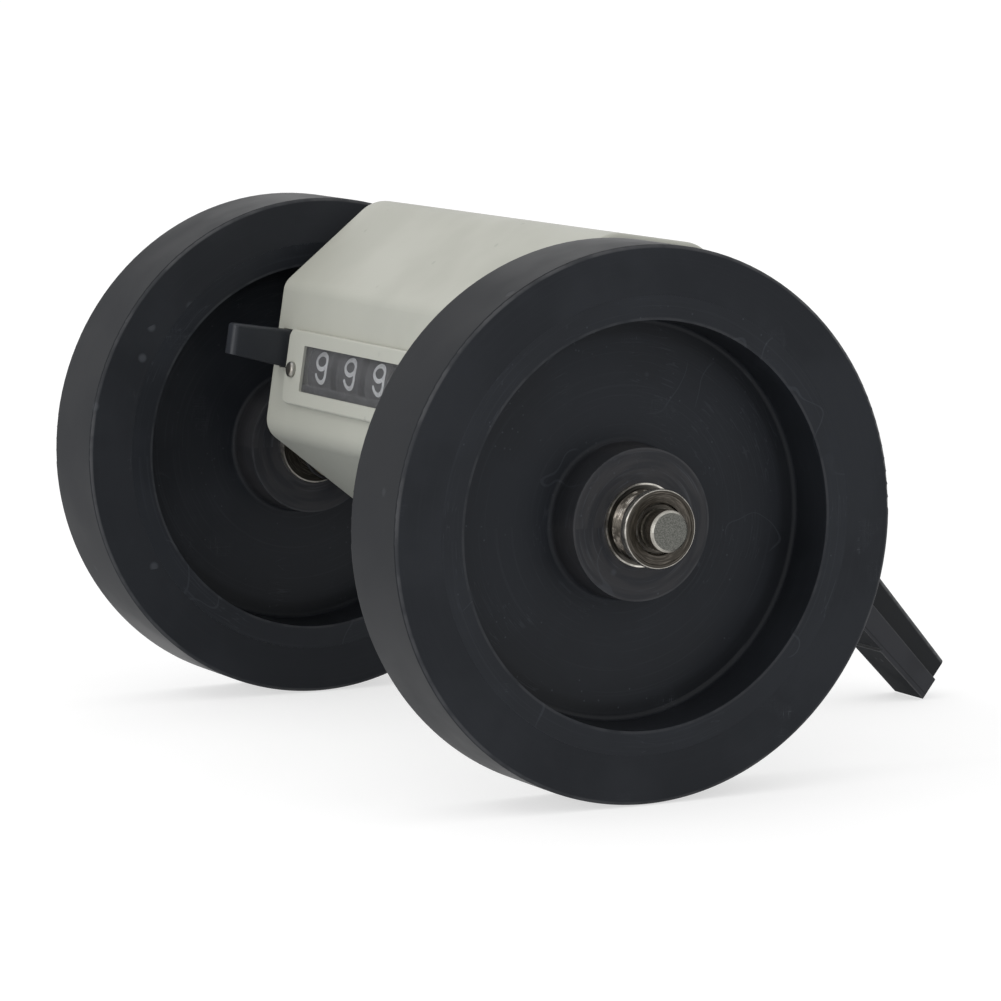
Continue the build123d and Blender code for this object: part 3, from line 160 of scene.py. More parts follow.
class Bench:
    """Nodes of one material, or of the world, under construction."""

    def __init__(self, name: str, tree: bpy.types.NodeTree | None = None) -> None:
        """Start with an empty tree.

        Args:
            name: Name of the material.
            tree: Tree to fill in place of a new material's.
        """
        if tree is None:
            self.material = bpy.data.materials.new(name)
            self.material.use_nodes = True
            tree = self.material.node_tree
        self.tree = tree
        self.tree.nodes.clear()

    def node(
            self, kind: str, settings: dict | None = None,
            sockets: dict | None = None) -> bpy.types.ShaderNode:
        """Add one node.

        Args:
            kind: Node type.
            settings: Properties of the node, which are set first.
            sockets: Values or channels, by number, identifier or name of the socket.

        Returns:
            The node.
        """
        made = self.tree.nodes.new(kind)
        for key, value in (settings or {}).items():
            setattr(made, key, value)
        for key, value in (sockets or {}).items():
            self.feed(self.inlet(made, key), value)
        return made

    @staticmethod
    def inlet(node: bpy.types.ShaderNode, key: str | int) -> bpy.types.NodeSocket:
        """Input socket of a node.

        Args:
            node: The node.
            key: Number, identifier or name of the socket.

        Returns:
            The socket.
        """
        if isinstance(key, int):
            return node.inputs[key]
        for socket in node.inputs:
            if socket.identifier == key:
                return socket
        return node.inputs[key]

    def feed(self, socket: bpy.types.NodeSocket, value: object) -> None:
        """Link a channel to a socket, or set a plain value on it.

        Args:
            socket: The input.
            value: Channel, number or tuple.
        """
        if isinstance(value, Channel):
            self.tree.links.new(value.socket, socket)
        elif socket.type == "RGBA" and len(value) == 3:
            socket.default_value = (*value, 1.0)
        else:
            socket.default_value = value

    def out(self, node: bpy.types.ShaderNode, key: str | int = 0) -> Channel:
        """Output of a node as a channel."""
        return Channel(self, node.outputs[key])

    def maths(self, operation: str, *values: "Channel | float") -> Channel:
        """One step of arithmetic on values."""
        return self.out(self.node("ShaderNodeMath", {"operation": operation}, dict(enumerate(values))))

    def vector(self, operation: str, **values: object) -> Channel:
        """One step of arithmetic on vectors.

        Args:
            operation: What is done.
            values: The sockets first, second and Scale.

        Returns:
            The resulting vector.
        """
        names = {"first": "Vector", "second": "Vector_001", "Scale": "Scale"}
        sockets = {names[key]: value for key, value in values.items()}
        return self.out(self.node("ShaderNodeVectorMath", {"operation": operation}, sockets))

    def joined(self, x: Channel, y: Channel, z: Channel) -> Channel:
        """Vector from three values."""
        return self.out(self.node("ShaderNodeCombineXYZ", None, {"X": x, "Y": y, "Z": z}))

    def parted(self, where: Channel) -> tuple[Channel, Channel, Channel]:
        """Three values of a vector."""
        made = self.node("ShaderNodeSeparateXYZ", None, {"Vector": where})
        return self.out(made, 0), self.out(made, 1), self.out(made, 2)

    def blend(self, factor: "Channel | float", low: object, high: object) -> Channel:
        """Colour between two colours.

        Args:
            factor: 0 gives low, 1 gives high.
            low: Colour or channel.
            high: Colour or channel.

        Returns:
            The colour.
        """
        sockets = {"Factor_Float": factor, "A_Color": low, "B_Color": high}
        return self.out(self.node("ShaderNodeMix", {"data_type": "RGBA"}, sockets), 2)

    def rise(self, value: Channel, low: float, high: float, start: float = 0.0, end: float = 1.0) -> Channel:
        """Smooth step of a value.

        Args:
            value: The value.
            low: Where the step begins.
            high: Where it ends.
            start: Result below the step.
            end: Result above it.

        Returns:
            The stepped value.
        """
        sockets = {"Value": value, "From Min": low, "From Max": high, "To Min": start, "To Max": end}
        return self.out(self.node("ShaderNodeMapRange", {"interpolation_type": "SMOOTHSTEP"}, sockets))

    def drift(self, cloud: Channel, low: float, high: float) -> Channel:
        """Value that drifts between two levels with a soft random field."""
        return self.rise(cloud, 0.35, 0.65, low, high)

    def place(self) -> Channel:
        """Position on the object in metres; it stays with the piece when that moves."""
        return self.out(self.node("ShaderNodeTexCoord"), "Object")

    def stretched(self, x: float, y: float, z: float) -> Channel:
        """Position with each axis scaled, to draw a grain out along the others."""
        return self.vector("MULTIPLY", first=self.place(), second=(x, y, z))

    def noise(
            self, size: float, detail: float = 2.0, where: Channel | None = None,
            rough: float = 0.5) -> Channel:
        """Soft random field.

        Args:
            size: Size of its features in millimetres.
            detail: Octaves of finer detail.
            where: Position to use in place of the object's own.
            rough: Strength of the finer octaves.

        Returns:
            Value from 0 to 1, mostly near one half.
        """
        sockets = {"Vector": where or self.place(), "Scale": 1 / (size * MM)}
        sockets |= {"Detail": detail, "Roughness": rough}
        return self.out(self.node("ShaderNodeTexNoise", None, sockets), 0)

    def specks(self, size: float, share: float) -> Channel:
        """Sparse small round marks.

        Args:
            size: Spacing of the cells that may hold one, in millimetres.
            share: Share of the cells that do.

        Returns:
            Mask of the marks.
        """
        sockets = {"Vector": self.place(), "Scale": 1 / (size * MM)}
        cell = self.node("ShaderNodeTexVoronoi", {"feature": "F1"}, sockets)
        inside = 1 - self.rise(self.out(cell, "Distance"), 0.12, 0.3)
        chosen = self.out(self.node("ShaderNodeSeparateColor", None, {"Color": self.out(cell, "Color")}), 0)
        return inside * chosen.above(1 - share, 0.002)

    def scratches(self, length: float, width: float, share: float) -> Channel:
        """Sparse fine lines in several directions.

        Args:
            length: Length of a scratch in millimetres.
            width: Its width in millimetres.
            share: Share of the surface on which they occur.

        Returns:
            Mask of the scratches.
        """
        ratio = length / width
        runs = (self.stretched(1, 1 / ratio, 1), self.stretched(1, 1, 1 / ratio))
        masks = [self.noise(width * 2.5, 0.0, run).near(0.5, 0.012) for run in runs]
        zone = self.noise(length * 1.6, 1.0).above(1 - share, 0.03)
        return (masks[0] | masks[1]) * zone

    def bump(
            self, height: Channel, depth: float, strength: float = 1.0,
            under: Channel | None = None) -> Channel:
        """Normal from a height field.

        Args:
            height: Height, 0 to 1.
            depth: What a height of 1 stands for, in millimetres.
            strength: Share of the effect.
            under: Normal that it lies on.

        Returns:
            The normal.
        """
        sockets = {"Height": height, "Distance": depth * MM, "Strength": strength}
        if under is not None:
            sockets["Normal"] = under
        return self.out(self.node("ShaderNodeBump", None, sockets))

    def close(self, shader: Channel) -> bpy.types.Material:
        """Wire a shader to the output and hand the material over."""
        self.node("ShaderNodeOutputMaterial", None, {"Surface": shader})
        return self.material

    def principled(self, **sockets: object) -> bpy.types.Material:
        """Finish with one principled surface; underscores in names stand for spaces."""
        named = {key.replace("_", " "): value for key, value in sockets.items()}
        return self.close(self.out(self.node("ShaderNodeBsdfPrincipled", None, named)))


# ---- finishes ------------------------------------------------------------------------------
@dataclass(frozen=True)
class Axle:
    """Line along +X that turned marks run round.

    y and z are in metres.
    """

    y: float
    z: float

    def radius(self, bench: Bench) -> Channel:
        """Distance from the line in millimetres.

        Args:
            bench: Material.

        Returns:
            The distance.
        """
        across, up = self.offset(bench)
        return (across * across + up * up) ** 0.5 * (1 / MM)

    def offset(self, bench: Bench) -> tuple[Channel, Channel]:
        """Position square to the line, in metres: back and up."""
        _, back, up = bench.parted(bench.place())
        return back - self.y, up - self.z

    def along(self, bench: Bench) -> Channel:
        """Distance along the line in millimetres."""
        return bench.parted(bench.place())[0] * (1 / MM)

    def outward(self, bench: Bench) -> Channel:
        """Distance from the middle plane in millimetres, alike on both sides."""
        return bench.maths("ABSOLUTE", self.along(bench))

    def bearing(self, bench: Bench) -> Channel:
        """Angle round the line in radians."""
        across, up = self.offset(bench)
        return bench.maths("ARCTAN2", up, across)

    def thread(self, bench: Bench, pitch: float) -> Channel:
        """Screw thread round the line.

        Args:
            bench: Material.
            pitch: Pitch in millimetres.

        Returns:
            Height from 0 in the valleys to 1 on the crests.
        """
        turn = self.along(bench) * (2 * math.pi / pitch) + self.bearing(bench)
        return bench.maths("SINE", turn) * 0.5 + 0.5

    def streaks(self, bench: Bench, count: float, pitch: float, detail: float = 3.0) -> Channel:
        """Random streaks that run across the turning marks.

        Args:
            bench: Material.
            count: Streaks per radian.
            pitch: How far along the line one reaches, in millimetres.
            detail: Octaves of finer marks.

        Returns:
            Value from 0 to 1.
        """
        run = self.along(bench) * (1 / pitch)
        where = bench.joined(self.bearing(bench) * count, run, self.radius(bench) * 0.7)
        return bench.noise(1 / MM, detail, where, 0.6)

    def rings(self, bench: Bench, pitch: float, detail: float = 2.0) -> Channel:
        """Fine random rings and lines left by turning.

        Args:
            bench: Material.
            pitch: Typical spacing in millimetres.
            detail: Octaves of finer marks.

        Returns:
            Value from 0 to 1.
        """
        where = bench.joined(self.radius(bench), self.along(bench), self.bearing(bench) * 0.4)
        return bench.noise(pitch / MM, detail, where, 0.6)


@dataclass(frozen=True)
class Enamel:
    """Satin paint over die-cast metal, with a fine orange peel."""

    name: str
    colour: Colour
    shade: float = 0.93
    roughness: float = 0.42
    peel: float = 0.5
    peel_depth: float = 0.012
    specular: float = 0.4

    def material(self) -> bpy.types.Material:
        """Build the paint.

        Returns:
            The material.
        """
        bench = Bench(self.name)
        cloud = bench.noise(26.0, 3.0)
        grain = bench.noise(self.peel, 2.0)
        dust = bench.specks(2.4, 0.03)
        rub = bench.scratches(9.0, 0.05, 0.32)
        dark = toned(self.colour, self.shade)
        coat = bench.blend(cloud.above(0.5, 0.14), self.colour, dark)
        coat = bench.blend(dust * 0.35, coat, toned(self.colour, 0.55))
        coat = bench.blend(rub * 0.16, coat, toned(self.colour, 1.35))
        rough = bench.drift(cloud, self.roughness - 0.04, self.roughness + 0.05) + rub * 0.08
        normal = bench.bump(grain, self.peel_depth, 0.55)
        normal = bench.bump(bench.noise(7.0, 1.0), 0.05, 0.25, normal)
        return bench.principled(
            Base_Color=coat, Roughness=rough, Normal=normal, Specular_IOR_Level=self.specular)


@dataclass(frozen=True)
class Moulding:
    """Black moulded plastic: turned rings, flow marks, dust and scuffs, with a painted sheen on the hub,
    painted highlights along the hub's and the dish's edges and painted shade in the dish's corner.
    """

    name: str
    colour: Colour
    axle: Axle
    roughness: float = 0.42
    specular: float = 0.15
    rings: float = 0.3
    flow: float = 0.15
    scuff_share: float = 0.3
    hub_radius: float = 14.6
    hub_sheen_colour: Colour = (0.040, 0.0395, 0.042)
    rim_radius: float = 38.9
    hub_faces: tuple[float, float] = (65.55, 79.15)
    rim_faces: tuple[float, float] = (62.7, 82.0)
    # worn is the colour of the painted highlights along the hub's and the dish's edges.
    worn: Colour = (0.070, 0.071, 0.075)

    def edge_highlights(self, bench: Bench) -> Channel:
        """Mask of painted highlights along the hub's and the dish's edges, in patches.

        Args:
            bench: Material.

        Returns:
            The mask.
        """
        radius = self.axle.radius(bench)
        patchy = bench.noise(5.0, 3.0).above(0.47, 0.12)
        hub = radius.near(self.hub_radius - 0.15, 0.28) * self.beyond(bench, self.hub_faces)
        dish = radius.near(self.rim_radius + 0.25, 0.35) * self.beyond(bench, self.rim_faces)
        return (hub * 0.5 | dish * 0.35) * (patchy * 0.8 + 0.2)

    def beyond(self, bench: Bench, faces: tuple[float, float]) -> Channel:
        """Mask of the places at or past either of two end faces.

        Args:
            bench: Material.
            faces: Distances of the two faces from the middle plane, in millimetres.

        Returns:
            The mask.
        """
        outward = self.axle.outward(bench)
        inner = 1 - bench.rise(outward, faces[0] + 0.1, faces[0] + 0.5)
        return inner | bench.rise(outward, faces[1] - 0.5, faces[1] - 0.1)

    def web_corner_shade(self, bench: Bench) -> Channel:
        """Mask of the round between the dish's web and its wall, which is darkened as painted shade.

        Args:
            bench: Material.

        Returns:
            The mask.
        """
        radius = self.axle.radius(bench)
        band = bench.rise(radius, self.rim_radius - 4.6, self.rim_radius - 2.8)
        band = band * (1 - bench.rise(radius, self.rim_radius + 0.5, self.rim_radius + 0.9))
        return band * (1 - self.beyond(bench, self.rim_faces))

    def hub_face_sheen(self, bench: Bench) -> Channel:
        """Mask of a painted sheen on the hub's end face and of painted light on the hub's shaded side,
        uneven round the shaft.

        Args:
            bench: Material.

        Returns:
            The mask.
        """
        inside = 1 - bench.rise(self.axle.radius(bench), self.hub_radius - 0.1, self.hub_radius + 1.2)
        sweep = self.axle.streaks(bench, 1.1, 80.0, 1.0)
        return inside * bench.rise(sweep, 0.36, 0.62, 0.45, 1.0)

    def scuffs(self, bench: Bench) -> Channel:
        """Mask of rubs, chips and flow lines.

        Args:
            bench: Material.

        Returns:
            The mask.
        """
        edge = bench.noise(26.0, 2.0).near(0.47, 0.004) * bench.noise(14.0, 0.0).above(0.55, 0.03)
        rub = bench.scratches(7.0, 0.05, self.scuff_share)
        chips = bench.specks(4.0, 0.012)
        dust = bench.specks(0.9, 0.03) * bench.noise(12.0, 1.0).above(0.55, 0.05)
        arcs = bench.noise(1.0, 1.0, self.spun(bench)).near(0.5, 0.012)
        arcs = arcs * bench.noise(13.0, 1.0).above(0.56, 0.03)
        return edge * self.flow | rub * 0.3 | chips * 0.6 | dust * 0.3 | arcs * 0.12

    def spun(self, bench: Bench) -> Channel:
        """Position drawn out round the shaft, so that marks follow the rolling direction.

        Args:
            bench: Material.

        Returns:
            The position in metres.
        """
        axle = self.axle
        where = bench.joined(axle.radius(bench), axle.bearing(bench) * 2.5, axle.along(bench))
        return bench.vector("SCALE", first=where, Scale=MM)

    def material(self) -> bpy.types.Material:
        """Build the plastic.

        Returns:
            The material.
        """
        bench = Bench(self.name)
        turned = self.axle.rings(bench, 0.45, 3.0)
        cloud = bench.noise(20.0, 3.0)
        hub = self.hub_face_sheen(bench)
        pale = toned(self.colour, 4.0, 0.03)
        dusty = toned(self.colour, 1.35, 0.002)
        base = bench.blend(cloud.above(0.52, 0.14) * 0.6, self.colour, dusty)
        # Painted sheen on the hub face, and painted light on the hub's shaded side.
        base = bench.blend(hub, base, self.hub_sheen_colour)
        base = bench.blend(turned.above(0.62, 0.06) * (hub * 0.22 + self.rings * 0.2), base, pale)
        # Painted shade in the round between the dish's web and its wall.
        base = bench.blend(self.web_corner_shade(bench) * 0.45, base, toned(self.colour, 0.4))
        marks = self.scuffs(bench)
        base = bench.blend(marks, base, pale)
        # Painted highlights along the hub's and the dish's edges.
        base = bench.blend(self.edge_highlights(bench), base, self.worn)
        rough = bench.drift(cloud, self.roughness - 0.05, self.roughness + 0.06) + marks * 0.2
        normal = bench.bump(turned, 0.012, self.rings)
        normal = bench.bump(bench.noise(0.35, 2.0), 0.008, 0.5, normal)
        return bench.principled(
            Base_Color=base, Roughness=rough, Normal=normal, Specular_IOR_Level=self.specular)


@dataclass(frozen=True)
class Rubber:
    """Ground black rubber tread with fine lines along the rolling direction and small nicks."""

    name: str
    colour: Colour
    axle: Axle
    roughness: float = 0.4
    specular: float = 0.06
    radius: float = 53.05
    edge: float = 0.7

    def corner(self, bench: Bench) -> Channel:
        """Mask of the rounded corner between face and tread, where a pale line is painted as a highlight, in
        patches.

        Args:
            bench: Material.

        Returns:
            The mask.
        """
        radius = self.axle.radius(bench)
        inner = self.radius - self.edge
        band = bench.rise(radius, inner - 0.1, inner + 0.25)
        band = band * (1 - bench.rise(radius, self.radius - 0.2, self.radius - 0.03))
        return band * bench.rise(bench.noise(6.0, 3.0), 0.35, 0.6, 0.35, 1.0)

    def material(self) -> bpy.types.Material:
        """Build the rubber.

        Returns:
            The material.
        """
        bench = Bench(self.name)
        ground = self.axle.rings(bench, 0.35, 3.0)
        cloud = bench.noise(22.0, 3.0)
        worn = toned(self.colour, 1.3, 0.002)
        pale = toned(self.colour, 3.2, 0.02)
        base = bench.blend(cloud.above(0.5, 0.12) * 0.6, self.colour, worn)
        base = bench.blend(ground.above(0.6, 0.08) * 0.2, base, worn)
        nick = bench.specks(4.2, 0.02)
        dust = bench.specks(0.8, 0.025) * bench.noise(11.0, 1.0).above(0.55, 0.05)
        rub = bench.scratches(6.0, 0.05, 0.3)
        marks = nick * 0.5 | rub * 0.35 | dust * 0.3
        base = bench.blend(marks, base, pale)
        # Painted shade: the whole tread is darkened.
        tread = self.axle.radius(bench).above(self.radius - 0.12, 0.05)
        base = bench.blend(tread * 0.62, base, toned(self.colour, 0.45))
        # Painted highlight: a pale line along the corner between face and tread.
        base = bench.blend(self.corner(bench) * 0.8, base, (0.085, 0.086, 0.090))
        rough = bench.drift(cloud, self.roughness - 0.04, self.roughness + 0.06)
        normal = bench.bump(ground, 0.01, 0.35)
        normal = bench.bump(1 - nick, 0.05, 0.6, normal)
        return bench.principled(
            Base_Color=base, Roughness=rough, Normal=normal, Specular_IOR_Level=self.specular)


@dataclass(frozen=True)
class ArmCasting:
    """Painted cast arm: smooth bar and a rough rib on its back, with painted shade on the rib's recessed
    side and on the underside, painted highlights along the edges and a few pale chips.

    Sizes are in millimetres in the arm's own plane, from its pivot.
    """

    name: str
    pivot: Axle
    colour: Colour = (0.0360, 0.0370, 0.0418)
    rib_shade_colour: Colour = (0.0080, 0.0092, 0.0112)
    highlight_and_chip_colour: Colour = (0.105, 0.106, 0.108)
    pad_start: float = 72.0
    pitch: float = 47.5
    length: float = 87.4
    tip_low: float = -4.3
    tip_high: float = 5.35
    low_taper: float = 0.032
    high_taper: float = 0.040
    step: float = 0.65
    half_width: float = 5.6
    ridge_half: float = 3.5
    roughness: float = 0.4

    def plane(self, bench: Bench) -> tuple[Channel, Channel]:
        """Distance along the arm and height across it.

        Args:
            bench: Material.

        Returns:
            Both, in millimetres from the pivot.
        """
        across, up = (part * (1 / MM) for part in self.pivot.offset(bench))
        lean = math.radians(self.pitch)
        along = across * math.cos(lean) - up * math.sin(lean)
        return along, across * math.sin(lean) + up * math.cos(lean)

    def material(self) -> bpy.types.Material:
        """Build the paint.

        Returns:
            The material.
        """
        bench = Bench(self.name)
        along, high = self.plane(bench)
        crest = high - (self.tip_high + self.high_taper * self.length) + along * self.high_taper
        foot = high - (self.tip_low - self.low_taper * self.length) - along * self.low_taper
        side = self.pivot.outward(bench).above(self.half_width - 0.1, 0.05)
        grain = bench.noise(0.7, 3.0)
        cloud = bench.noise(9.0, 3.0)
        # worn breaks the painted edge highlights into patches.
        worn = bench.rise(bench.noise(1.4, 3.0), 0.4, 0.62, 0.6, 1.0)
        mottled = toned(self.colour, 0.82)
        base = bench.blend(cloud.above(0.5, 0.12), self.colour, mottled)
        # Painted shade on the recessed side of the rib.
        base = bench.blend(high.above(self.step + 0.12, 0.06), base, self.rib_shade_colour)
        # Painted shade on the underside.
        under = (1 - bench.rise(foot, 0.52, 0.6)) * (1 - side)
        base = bench.blend(under, base, self.rib_shade_colour)
        # Painted highlight at the pad's step on the underside.
        base = bench.blend(under * along.near(self.pad_start, 0.45) * 0.8, base, self.highlight_and_chip_colour)
        # Painted shade: a dark line along the outer face near its lower edge.
        base = bench.blend(foot.near(1.15, 0.2) * side * 0.6, base, self.rib_shade_colour)
        # Painted highlight along the rib's rounded top edge.
        ridge_highlight = crest.above(-0.95, 0.25) * self.pivot.outward(bench).above(self.ridge_half, 0.2)
        base = bench.blend(ridge_highlight * worn * 0.95, base, self.highlight_and_chip_colour)
        # Painted highlight along the step between bar and rib.
        base = bench.blend(high.near(self.step - 0.05, 0.2) * side * worn * 0.45, base, self.highlight_and_chip_colour)
        # Painted highlight along the lower edge of the outer face.
        base = bench.blend(foot.near(0.08, 0.2) * side * worn * 0.5, base, self.highlight_and_chip_colour)
        # Pale chips.
        base = bench.blend(bench.specks(2.2, 0.03) * 0.3, base, self.highlight_and_chip_colour)
        rough = bench.drift(cloud, self.roughness - 0.04, self.roughness + 0.06) + under * 0.5
        normal = bench.bump(grain, 0.03, 0.6)
        return bench.principled(Base_Color=base, Roughness=rough, Normal=normal, Specular_IOR_Level=0.2)


class Tooling(Enum):
    """How a metal surface was made."""

    TURNED = "rings round the shaft"
    ROLLED = "straight grain along X"
    CAST = "blasted or as cut"


@dataclass(frozen=True)
class Metal:
    """Bare or plated metal with its tooling marks."""

    name: str
    colour: Colour
    tooling: Tooling
    axle: Axle
    roughness: float
    grain: float = 0.3
    depth: float = 0.006
    tarnish: Colour = (0.2, 0.17, 0.13)
    tarnish_share: float = 0.25

    def marks(self, bench: Bench) -> Channel:
        """Tooling marks of this metal.

        Args:
            bench: Material.

        Returns:
            Value from 0 to 1.
        """
        if self.tooling is Tooling.TURNED:
            return self.axle.rings(bench, self.grain, 3.0)
        if self.tooling is Tooling.ROLLED:
            return bench.noise(self.grain, 3.0, bench.stretched(0.03, 1, 1))
        return bench.noise(self.grain, 4.0)

    def material(self) -> bpy.types.Material:
        """Build the metal.

        Returns:
            The material.
        """
        bench = Bench(self.name)
        marks = self.marks(bench)
        stain = bench.noise(3.2, 3.0)
        dark = toned(self.colour, 0.72)
        base = bench.blend(marks.above(0.5, 0.2), self.colour, dark)
        base = bench.blend(stain.above(1 - self.tarnish_share * 1.6, 0.1) * 0.5, base, self.tarnish)
        rough = bench.rise(marks, 0.3, 0.7, self.roughness * 0.8, self.roughness * 1.3)
        rough = rough + stain.above(0.6, 0.1) * 0.08
        normal = bench.bump(marks, self.depth, 0.6)
        return bench.principled(Base_Color=base, Metallic=1.0, Roughness=rough, Normal=normal)


@dataclass(frozen=True)
class ClampSteel:
    """Nickel-plated clamping parts: oily dark faces, bright rims and a streaked thread."""

    name: str
    axle: Axle
    rim_radius: float
    face_x: float
    middle: Colour
    dark: Colour
    bright: Colour = (0.76, 0.73, 0.67)
    pitch: float = 0.62
    shoulder: float = 60.0
    lip: float = 60.0

    def material(self) -> bpy.types.Material:
        """Build the metal.

        Returns:
            The material.
        """
        bench = Bench(self.name)
        radius = self.axle.radius(bench)
        rings = self.axle.rings(bench, 0.2, 3.0)
        streaks = self.axle.streaks(bench, 3.2, 2.2)
        end = self.axle.outward(bench).above(self.face_x, 0.15)
        front = end | radius.above(self.shoulder, 0.05)
        rim = radius.above(self.rim_radius, 0.1)
        thread = self.axle.thread(bench, self.pitch)
        side = bench.blend(streaks.above(0.55, 0.07), self.dark, self.middle)
        side = bench.blend(streaks.above(0.6, 0.04) * thread.above(0.55, 0.2) * 0.6, side, self.bright)
        face = bench.blend(rings.above(0.58, 0.1) * 0.55, self.dark, self.middle)
        base = bench.blend(front, side, face)
        shine = bench.rise(streaks, 0.35, 0.55, 0.5, 1.0)
        base = bench.blend(rim * shine, base, self.bright)
        base = bench.blend(end * radius.above(self.lip, 0.05) * shine, base, self.bright)
        rough = bench.rise(rings, 0.3, 0.7, 0.2, 0.34) + front * 0.08
        normal = bench.bump(thread, 0.05, 0.5)
        normal = bench.bump(rings, 0.012, 0.6, normal)
        return bench.principled(Base_Color=base, Metallic=1.0, Roughness=rough, Normal=normal)


@dataclass(frozen=True)
class ShaftSteel:
    """Ground shaft whose sawn ends are blasted grey, with a bright chamfer round them."""

    name: str
    axle: Axle
    end_x: float = 90.2
    face_colour: Colour = (0.150, 0.150, 0.134)
    side_colour: Colour = (0.42, 0.40, 0.36)
    edge_colour: Colour = (0.46, 0.45, 0.41)
    chamfer: float = 3.5

    def material(self) -> bpy.types.Material:
        """Build the metal.

        Returns:
            The material.
        """
        bench = Bench(self.name)
        grit = bench.noise(0.24, 3.0, rough=0.7)
        rings = self.axle.rings(bench, 0.25, 3.0)
        dark = toned(self.face_colour, 0.66)
        pale = toned(self.face_colour, 1.4)
        face = bench.blend(bench.rise(grit, 0.38, 0.62), dark, pale)
        face = bench.blend(bench.specks(0.45, 0.03) * 0.7, face, (0.8, 0.8, 0.76))
        dull = toned(self.side_colour, 0.45)
        side = bench.blend(rings.above(0.5, 0.2), self.side_colour, dull)
        outward = self.axle.outward(bench)
        end = outward.above(self.end_x - 0.04, 0.03)
        base = bench.blend(end, side, face)
        turned = outward.above(self.end_x - 0.52, 0.04) * (1 - end)
        uneven = bench.rise(self.axle.streaks(bench, 1.6, 4.0), 0.4, 0.6, 0.25, 1.0)
        lip = turned * self.axle.radius(bench).near(self.chamfer + 0.1, 0.3) * uneven
        base = bench.blend(lip, base, self.edge_colour)
        rough = bench.rise(rings, 0.3, 0.7, 0.22, 0.36) + end * 0.3
        normal = bench.bump(rings, 0.01, 0.5)
        normal = bench.bump(grit * end, 0.03, 0.6, normal)
        metal = 1 - end * 0.55
        return bench.principled(
            Base_Color=base, Metallic=metal, Roughness=rough, Normal=normal, Specular_IOR_Level=0.2)


@dataclass(frozen=True)
class Acrylic:
    """Clear window sheet, lightly rubbed, with a painted reflection along its lower edge, where it is also
    less clear.
    """

    name: str
    colour: Colour = (0.25, 0.25, 0.256)
    reflection_colour: Colour = (0.115, 0.116, 0.119)
    alpha: float = 0.2
    reflection_alpha: float = 0.55
    roughness: float = 0.12
    reflection_from: float = 69.7
    reflection_full: float = 69.0

    def material(self) -> bpy.types.Material:
        """Build the sheet.

        Returns:
            The material.
        """
        bench = Bench(self.name)
        haze = bench.noise(6.0, 3.0)
        rub = bench.scratches(5.0, 0.05, 0.35)
        up = bench.parted(bench.place())[2] * (1 / MM)
        # Painted reflection: a lighter, less clear strip along the lower edge.
        reflection_strip = 1 - bench.rise(up, self.reflection_full, self.reflection_from)
        film = bench.drift(haze, self.alpha - 0.04, self.alpha + 0.05) + rub * 0.1
        film = film + reflection_strip * self.reflection_alpha
        rough = bench.drift(haze, self.roughness, self.roughness + 0.1) + rub * 0.2
        base = bench.blend(reflection_strip, self.colour, self.reflection_colour)
        normal = bench.bump(haze, 0.02, 0.2)
        return bench.principled(
            Base_Color=base, Alpha=film, Roughness=rough, Normal=normal, Specular_IOR_Level=0.5)


@dataclass(frozen=True)
class Print:
    """Printed figures, slightly uneven."""

    name: str
    colour: Colour

    def material(self) -> bpy.types.Material:
        """Build the ink.

        Returns:
            The material.
        """
        bench = Bench(self.name)
        thin = bench.noise(0.5, 3.0)
        worn = toned(self.colour, 0.72)
        base = bench.blend(thin.above(0.56, 0.12), self.colour, worn)
        rough = bench.rise(thin, 0.3, 0.7, 0.5, 0.65)
        return bench.principled(Base_Color=base, Roughness=rough, Normal=bench.bump(thin, 0.01, 0.4))


@dataclass(frozen=True)
class Resin:
    """Natural pale engineering plastic."""

    name: str
    colour: Colour

    def material(self) -> bpy.types.Material:
        """Build the plastic.

        Returns:
            The material.
        """
        bench = Bench(self.name)
        cloud = bench.noise(2.5, 3.0)
        warm = (self.colour[0] * 0.9, self.colour[1] * 0.86, self.colour[2] * 0.76)
        base = bench.blend(cloud.above(0.52, 0.15), self.colour, warm)
        rough = bench.rise(cloud, 0.3, 0.7, 0.38, 0.5)
        return bench.principled(Base_Color=base, Roughness=rough, Normal=bench.bump(cloud, 0.02, 0.3))


